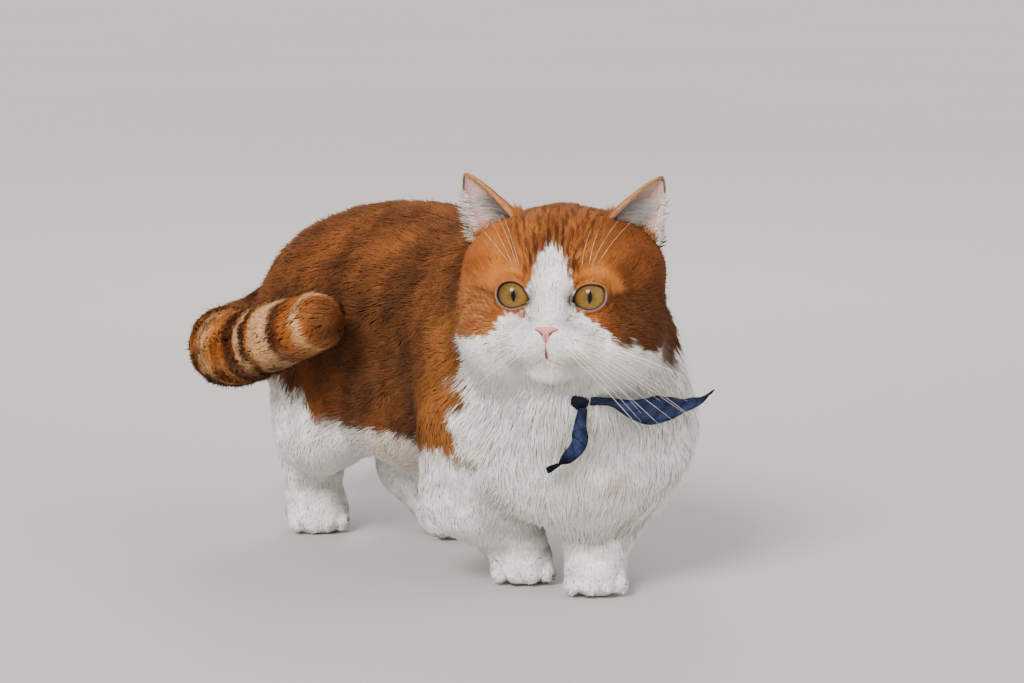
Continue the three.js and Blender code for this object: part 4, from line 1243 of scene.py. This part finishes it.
# Nose, nostrils and the line of the lips
def make_nose():
    def field(p):
        return np.max([nose_form(p) - 0.15] + [-f(p) for f in nostril_form], axis=0)

    grid = (grid_lines(a, b, 0.42) for a, b in ((-10, 10), (-58, -43), (-23, -5)))
    points, quads = surface_net(field, *grid)
    hole = np.min([f(points) for f in nostril_form], axis=0)
    colour = painted(
        NOSE_LEATHER,
        # painted shade: near black in the nostril openings
        (NOSTRIL_SHADE, fall(hole, 0.1, 0.9)),
        (NOSE_RIM, 0.6 * ramp(points[:, 2], -10.6, -8.4)),
        # painted shade: a darker line down the middle of the nose's lower half, where its crease is
        (NOSE_CREASE_SHADE, 0.6 * bell(points[:, 0] / 0.5) * (points[:, 2] < -13)),
    )
    piece = make_piece("nose_pad", from_head(points), quads, leather_material, "nose_leather", colour)
    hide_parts("nose")
    # the lip line is dark: partly the lips' own dark edge, partly painted shade of the mouth's crease
    tubes = zip(mouth_lines, (0.44, 0.12, 0.12))
    meshes = [tube_mesh(from_head(line), np.linspace(0.4, end, len(line)), 6) for line, end in tubes]
    make_piece("lip_line", *join_meshes(meshes), lid_material, "nose_leather", LIP)


# Ears
WRAP = math.radians(104)
EAR_SUNK = 11


def ear_frame(side):
    up = unit(np.array([side * math.sin(math.radians(26)), -0.02, math.cos(math.radians(26))]))
    facing = np.array([side * math.sin(math.radians(24)), -math.cos(math.radians(24)), 0])
    back = unit(-facing + up * (facing @ up))
    return np.stack([np.cross(back, up), back, up], 1), np.array([side * 33.5, -3.0, 32.0])


def ear_points(side, t, turn, inner):
    """Places on an ear's outer or inner face, in the head's frame. t runs from the root, 0, to the tip, 1."""
    basis, base = ear_frame(side)
    rise = np.maximum(t, 0)
    outer_side = np.clip(turn * side / WRAP, 0, 1)
    turn = turn * (1 - 0.34 * outer_side * fall(t, -0.05, 0.34))
    radius = (EAR_WIDTH / 2 - 1.6) * (1 - np.minimum(rise, 1)) ** 0.78 + 1.6
    wall = np.where(inner, np.minimum(EAR_THICKNESS * (1 - 0.5 * rise), radius * 0.55), 0)
    edge = np.abs(turn) / WRAP
    wall = wall * (1 - 0.45 * edge**4)
    cup = 0.82 - 0.2 * rise
    x = (radius - wall) * np.sin(turn)
    y = (radius - wall) * cup * np.cos(turn) - 2.5 * t * t
    y = y + 0.25 * np.sin(t * 9) * (1 - edge)
    return np.stack([x, y, t * EAR_HEIGHT + np.zeros_like(x)], -1) @ basis.T + base


def sheet_faces(rows, columns):
    """Quads of a closed sheet: an outer layer of points, rows by columns, then an inner one, and its edge."""
    layer = rows * columns
    at = np.arange(layer).reshape(rows, columns)
    top = np.stack([at[:-1, :-1], at[:-1, 1:], at[1:, 1:], at[1:, :-1]], -1).reshape(-1, 4)
    loop = np.concatenate([at[0, :-1], at[:-1, -1], at[-1, :0:-1], at[:0:-1, 0]])
    after = np.roll(loop, -1)
    return np.vstack([top, top[:, ::-1] + layer, np.stack([after, loop, loop + layer, after + layer], 1)])


def make_ear(side, name):
    rows, columns = 27, 35
    heights = np.linspace(-EAR_SUNK / EAR_HEIGHT, 1, rows)
    t, turn = np.meshgrid(heights, np.linspace(-WRAP, WRAP, columns), indexing="ij")
    t, turn = t.ravel(), turn.ravel()
    points = np.vstack([ear_points(side, t, turn, inner) for inner in (False, True)])
    edge = np.maximum(np.abs(turn) / WRAP, np.clip(t, 0, 1)) ** 5
    # painted shade: the inside of the cup darker towards its root
    inside = painted(EAR_PINK, (EAR_HOLLOW_SHADE, 0.7 * fall(t, -0.05, 0.35)), (EAR_EDGE, edge))
    colours = np.vstack([np.tile(DARK_GINGER, (len(t), 1)), inside])
    faces = sheet_faces(rows, columns)[:, ::-1]
    piece = make_piece("ear_" + name + "_shell", from_head(points), faces, ear_material, "ear", colours)
    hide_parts("ear_" + name)
    ear_fur(side, name)


def ear_surface(side, t, turn, inner):
    """Places on the ear with the directions outward and towards the tip, in the head's frame."""
    h = 0.01
    p = ear_points(side, t, turn, inner)
    up = unit(ear_points(side, t + h, turn, inner) - p)
    n = unit(np.cross(up, ear_points(side, t, turn + h, inner) - p))
    axis = p - ear_points(side, t, np.zeros_like(turn) + math.pi, False)
    n = np.where((dot(n, axis) < 0)[:, None], -n, n)
    return p, (-n if inner else n), up


def ear_fur(side, name):
    local = np.random.default_rng(300 + side)
    groups = []

    def add(p, n, lie, length, width, stand, colour):
        """Adds tufts. A measure given as (low, high) is drawn for each of them."""
        measures = (length, width, stand)
        length, width, stand = (local.uniform(*v, len(p)) if isinstance(v, tuple) else v for v in measures)
        root = p - n * 0.25
        mid = p + lie * (0.4 * length)[:, None] + n * (stand * 0.7)[:, None]
        tip = p + lie * length[:, None] + n * stand[:, None]
        groups.append([from_head(root), from_head(mid), from_head(tip), n @ HEAD_TURN.T, width, colour])

    count = 4600
    t = local.random(count) ** 1.15 - 0.04
    turn = local.uniform(-WRAP, WRAP, count)
    p, n, up = ear_surface(side, t, turn, False)
    edge = np.maximum(np.abs(turn) / WRAP, t) ** 6
    colour = colour_mix(GINGER, DARK_GINGER, local.random(count) * 0.8)
    colour = colour_mix(colour, CREAM, 0.7 * edge) * local.uniform(0.8, 1.15, (count, 1))
    add(p, n, up, (3.0, 5.0), (0.45, 0.75), (0.25, 0.7), colour)

    count = 2600
    t = local.random(count) * 0.99
    which = local.choice([-1.0, 1.0], count)
    turn = which * WRAP * local.uniform(0.9, 1.0, count)
    p, n, up = ear_surface(side, t, turn, False)
    outward = unit(ear_points(side, t, turn, False) - ear_points(side, t, turn * 0.9, False))
    lie = unit(up + outward * local.uniform(0.0, 0.5, (count, 1)))
    outer = which * side > 0
    pale = colour_mix(CREAM, WHITE, local.random(count))
    warm = colour_mix(GINGER, CREAM, 0.8 * local.random(count))
    colour = np.where(outer[:, None], pale, warm)
    add(p, n, lie, (2.4, 4.6), (0.3, 0.55), (-0.3, 0.5), colour)

    count = 1500
    t = local.random(count) * 0.97
    turn = local.uniform(-1, 1, count) * WRAP
    p, n, up = ear_surface(side, t, turn, True)
    lie = unit(up + local.normal(size=(count, 3)) * 0.12)
    colour = colour_mix(EAR_DOWN, EAR_DOWN_PALE, local.random(count))
    add(p, n, lie, (2.5, 4.5), (0.22, 0.4), (0.1, 0.3), colour)

    # long white hairs, from the outer rim and fanning across the cup from its root
    count = 820
    outer = local.random(count) < 0.45
    t = np.where(outer, local.random(count) * 0.8, local.random(count) ** 1.3 * 0.6 - 0.05)
    turn = side * WRAP * np.where(outer, local.uniform(0.55, 1.0, count), local.uniform(-1.0, 0.3, count))
    p, n, up = ear_surface(side, t, turn, True)
    rim_in, rim_out = (ear_points(side, t, np.full(count, side * WRAP * e), True) for e in (0.8, 0.98))
    edge_way = unit(rim_out - rim_in)
    near_rim, far_rim = (ear_points(side, t, np.full(count, e * side * WRAP), True) for e in (-1, 1))
    across_way = unit(far_rim - near_rim)
    way = np.where(
        outer[:, None], edge_way * 0.9 + across_way * 0.6, across_way * local.uniform(0.4, 1.3, (count, 1))
    )
    lie = unit(up * 0.8 + way + n * 0.12 + local.normal(size=(count, 3)) * 0.1)
    length = np.where(outer, local.uniform(5, 9, count), local.uniform(8, 17, count))
    colour = EAR_HAIR * local.uniform(0.85, 1.0, (count, 1))
    add(p, n, lie, length, (0.3, 0.5), (0.5, 1.6), colour)

    # fur of the head closing round the root
    for inside, count in ((False, 900), (True, 420)):
        t = local.uniform(-0.2, 0.12, count)
        turn = side * WRAP * (local.uniform(0.2, 1.0, count) if inside else local.uniform(-1.0, 1.0, count))
        p, n, up = ear_surface(side, t, turn, inside)
        lie = unit(up + n * 0.25 + local.normal(size=(count, 3)) * 0.22)
        tips = CREAM if inside else LIGHT_GINGER
        # painted shade: the root fur of the far ear starts from the darker flank colour
        colour = colour_mix(FLANK if side > 0 else GINGER, tips, local.random(count) ** 1.5)
        add(p, n, lie, (4.5, 8.5), (0.45, 0.8), (0.6, 1.8), colour)

    root, mid, tip, normal, width, colour = (np.concatenate([g[k] for g in groups]) for k in range(6))
    uv, _ = unwrap(root, np.zeros(len(root), int), np.zeros(len(root), int))
    make_tufts("ear_" + name + "_fur", root, mid, tip, normal, width, colour, uv, "ear")


# Neckerchief: a band round the neck, a knot and two ends
NAVY = linear(34, 42, 74)
DARK_NAVY = linear(14, 16, 28)
PALE_DENIM = linear(60, 72, 106)

CLOTH_ROWS, CLOTH_COLUMNS = 96, 26
CLOTH_THICKNESS = 0.9
CLOTH_LIFT = 1.0
CLOTH_BULGE = 1.2
CLOTH_TWIST = 2.2  # radians at the tip
NARROWEST_FLAT = 0.0101  # m


def ribbon_grid(ends, sunk):
    """A strip along [x, y, z, width] points, creased lengthwise, its start sunk and its tip twisted."""
    path = smooth_path(ends, CLOTH_ROWS)
    centre = path[:, :3]
    along = unit(np.gradient(centre, axis=0))
    across = unit(np.cross(along, slopes(lambda q: measure(q)["coat"], centre)))
    out = np.cross(across, along)
    u = np.linspace(-1, 1, CLOTH_COLUMNS)[None, :]
    t = np.linspace(0, 1, CLOTH_ROWS)[:, None]
    half = path[:, 3:4] / 2
    crease = 0.5 * np.sin(5 * u + 7 * t) + 0.22 * np.sin(12 * u - 9 * t) + 0.3 * np.sin(3 * u + 31 * t)
    rise = CLOTH_BULGE * (1 - np.abs(u) ** 2.2) * np.minimum(half / 4, 1.0) - sunk * fall(t, 0.08, 0.24)
    rise = rise + crease * (half / 6) * ramp(half, 1.4, 4)
    side = half * np.sin(u * math.pi / 2 * 0.95)
    turn = CLOTH_TWIST * ramp(t, 0.66, 1.0)
    flat = side * np.cos(turn) - rise * np.sin(turn)
    high = CLOTH_LIFT + side * np.sin(turn) + rise * np.cos(turn)
    return centre[:, None] + across[:, None] * flat[..., None] + out[:, None] * high[..., None], t, u


def half_area(points, faces):
    a, b, c, d = (points[faces[:, k]] for k in range(4))
    return 0.25 * span(np.cross(c - a, d - b)).sum() / 1e6


def make_cloth_end(name, ends, material, shaded_tip_share, sunk):
    grid, t, u = ribbon_grid(ends, sunk)
    normals = unit(np.cross(np.gradient(grid, axis=1), np.gradient(grid, axis=0)))
    outward = slopes(lambda q: measure(q)["coat"], grid.reshape(-1, 3)).reshape(grid.shape)
    if (normals * outward).sum() < 0:
        normals = -normals
    points = np.vstack([grid.reshape(-1, 3), (grid - normals * CLOTH_THICKNESS).reshape(-1, 3)])
    faces = faced_out(points, sheet_faces(CLOTH_ROWS, CLOTH_COLUMNS))
    # painted shade: tip, fold and root mark where the strip is darkened, over its rolled tip, along its
    # folded edges and at its start sunk under the fur
    tip = ramp(t, 1 - shaded_tip_share, 1 - shaded_tip_share * 0.55) + 0 * u
    fold = bell((u + 0.85) / 0.16) + 0.8 * bell((u - 0.92) / 0.12) + 0 * t
    stripe = np.sin(4.2 * u + 34 * t)
    root = fall(t, 0.1, 0.22) + 0 * u
    colour = painted(
        NAVY,
        (PALE_DENIM, 0.6 * bell((u - 0.1 - 0.3 * t) / 0.35).ravel()),
        (DARK_NAVY, 0.5 * ramp(stripe, 0.55, 0.9).ravel()),
        (PALE_DENIM, 0.6 * ramp(-stripe, 0.93, 1.0).ravel()),
        # painted shade of the rolled tip, the folded edges and the start under the fur
        (DARK_NAVY, np.clip(0.75 * fold + tip + 0.6 * root, 0, 1).ravel()),
    )
    # painted shade: the back layer is a darker copy of the front's colours
    piece = make_piece(
        "neckerchief_" + name, points, faces, material, "cloth", np.vstack([colour, colour * 0.6])
    )
    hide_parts("bandana_" + name)
    length = span(np.diff(grid[:, CLOTH_COLUMNS // 2], axis=0)).sum() / 1000
    width = max(span(np.diff(grid, axis=1)).sum(1).max() / 1000, NARROWEST_FLAT)
    return piece, (width, length), half_area(points, faces)


def coat_reach(start, direction):
    """How far the coat's outline is from places inside it, in a direction from each."""
    p = start + direction * 140.0
    for _ in range(70):
        p = p - direction * measure(p)["coat"][:, None] * 0.8
    return dot(p - start, direction)


BAND_MIDDLE = np.array([-12.0, -88.0, 151.0])
BAND_SUNK = 5.4


def make_band(material):
    up = unit(np.array([0.31, 0.72, 0.62]))
    axis = unit(np.cross([0.94, -0.34, 0.0], up))
    across = np.cross(up, axis)
    steps, columns = 128, 9
    turn = np.linspace(0, 2 * math.pi, steps, endpoint=False)[:, None]
    out = up * np.cos(turn) + across * np.sin(turn)
    starts = both(lambda e: np.tile(BAND_MIDDLE + axis * e * BAND_WIDTH / 2, (steps, 1)))
    low, high = (coat_reach(start, out)[:, None] for start in starts)
    s = np.linspace(0, 1, columns)[None, :]
    reach = low * (1 - s) + high * s - BAND_SUNK + 0.6 * np.sin(math.pi * s)
    reach = reach + 0.25 * np.sin(9 * s + 3 * np.sin(2 * turn))
    grid = BAND_MIDDLE + axis * ((s - 0.5) * BAND_WIDTH)[..., None] + out[:, None] * reach[..., None]
    points = np.concatenate([grid, (grid - out[:, None] * CLOTH_THICKNESS)[:, ::-1]], 1).reshape(-1, 3)
    at = np.arange(len(points)).reshape(steps, 2 * columns)
    beside, after = np.roll(at, -1, axis=1), np.roll(at, -1, axis=0)
    faces = np.stack([at, beside, np.roll(beside, -1, axis=0), after], -1).reshape(-1, 4)
    faces = faced_out(points, faces)
    # painted shade: the band near-black navy, as it lies in shade under the chin fur
    band = make_piece("neckerchief_band", points, faces, material, "cloth", DARK_NAVY * 1.4)
    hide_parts("bandana_band")
    flat = (BAND_WIDTH / 1000, span(grid[:, 4] - np.roll(grid[:, 4], 1, axis=0)).sum() / 1000)
    return band


def make_knot(material, band):
    a, t, faces = ball_mesh(26, 40)
    fold = 1 + 0.10 * np.sin(3 * t + 2.4 * np.cos(a)) * np.sin(a) + 0.04 * np.sin(7 * t)
    wide, high = np.sin(a) * np.cos(t) * fold, np.sin(a) * np.sin(t) * fold
    points = np.stack([5.6 * np.cos(a), 4.2 * wide, 3.7 * high], 1) @ turn_matrix(18, 0, 14).T + KNOT_AT
    # painted shade: the knot dark navy, as it lies in shade under the chin
    knot = make_piece("neckerchief_knot", points, faces, material, "cloth", DARK_NAVY * 1.6)
    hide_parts("bandana_knot")
    return knot


def make_neckerchief():
    material = cloth_material()
    knot = make_knot(material, make_band(material))
    for name, ends, shaded_tip_share, sunk in (
        ("end_hanging", HANGING_END, 0.42, 1.0), ("end_side", SIDE_END, 0.26, 3.6)
    ):
        piece, flat, area = make_cloth_end(name, ends, material, shaded_tip_share, sunk)


# The floor, the light and the camera
def make_room():
    floor_material, tree, shader = new_material("pale_floor", Roughness=0.6, Specular_IOR_Level=0.2)
    tone = noise_node(tree, 1.2, 2.0)
    shade = tree.nodes.new("ShaderNodeValToRGB")
    shade.color_ramp.elements[0].color = (0.47, 0.46, 0.44, 1)
    shade.color_ramp.elements[1].color = (0.50, 0.49, 0.47, 1)
    tree.links.new(tone, shade.inputs[0])
    tree.links.new(shade.outputs[0], shader.inputs["Base Color"])
    mesh = bpy.data.meshes.new("floor")
    mesh.from_pydata([(-40, -40, 0), (40, -40, 0), (40, 40, 0), (-40, 40, 0)], [], [(0, 1, 2, 3)])
    mesh.materials.append(floor_material)
    put("floor", mesh)
    world = bpy.data.worlds.new("studio")
    world.use_nodes = True
    world.node_tree.nodes["Background"].inputs[0].default_value = (0.84, 0.84, 0.85, 1)
    world.node_tree.nodes["Background"].inputs[1].default_value = 1.0
    bpy.context.scene.world = world


def add_lamp(name, kind, place, aim, power, colour, **shape):
    light = bpy.data.lights.new(name, kind)
    light.energy = power
    light.color = colour
    for key, value in shape.items():
        setattr(light, key, value)
    lamp = put(name, light)
    lamp.location = place
    lamp.rotation_euler = (Vector(aim) - Vector(place)).to_track_quat("-Z", "Y").to_euler()


def make_lights():
    floor, middle = (0, 0, 0), (0, 0, 0.11)
    add_lamp("key", "SUN", (-1.7, -0.85, 1.4), floor, 4.4, (1.0, 0.97, 0.93), angle=math.radians(22))
    add_lamp("fill", "SUN", (0.6, -1.6, 1.0), floor, 0.9, (1.0, 0.96, 0.92), angle=math.radians(50))
    add_lamp("back", "AREA", (0.9, 1.2, 1.4), middle, 10, (1.0, 0.95, 0.88), shape="DISK", size=0.8)


CAMERA_AT = np.array([-903.5, -1197.6, 349.0])
CAMERA_DOWN = 8.62
CAMERA_YAW = -38


def make_camera():
    data = bpy.data.cameras.new("camera")
    data.lens = 100
    data.sensor_width = 36
    data.clip_start = 0.05
    data.clip_end = 100
    camera = put("camera", data)
    camera.location = placed(CAMERA_AT)
    camera.rotation_euler = (math.radians(90 - CAMERA_DOWN), 0, math.radians(CAMERA_YAW))
    bpy.context.scene.camera = camera


make_room()
make_lights()
make_camera()
skin_points, skin_quads = make_skin()
make_coat(skin_points, skin_quads)
make_eyes()
make_nose()
for ear_side, ear_name in SIDES:
    make_ear(ear_side, ear_name)
make_whiskers()
make_neckerchief()
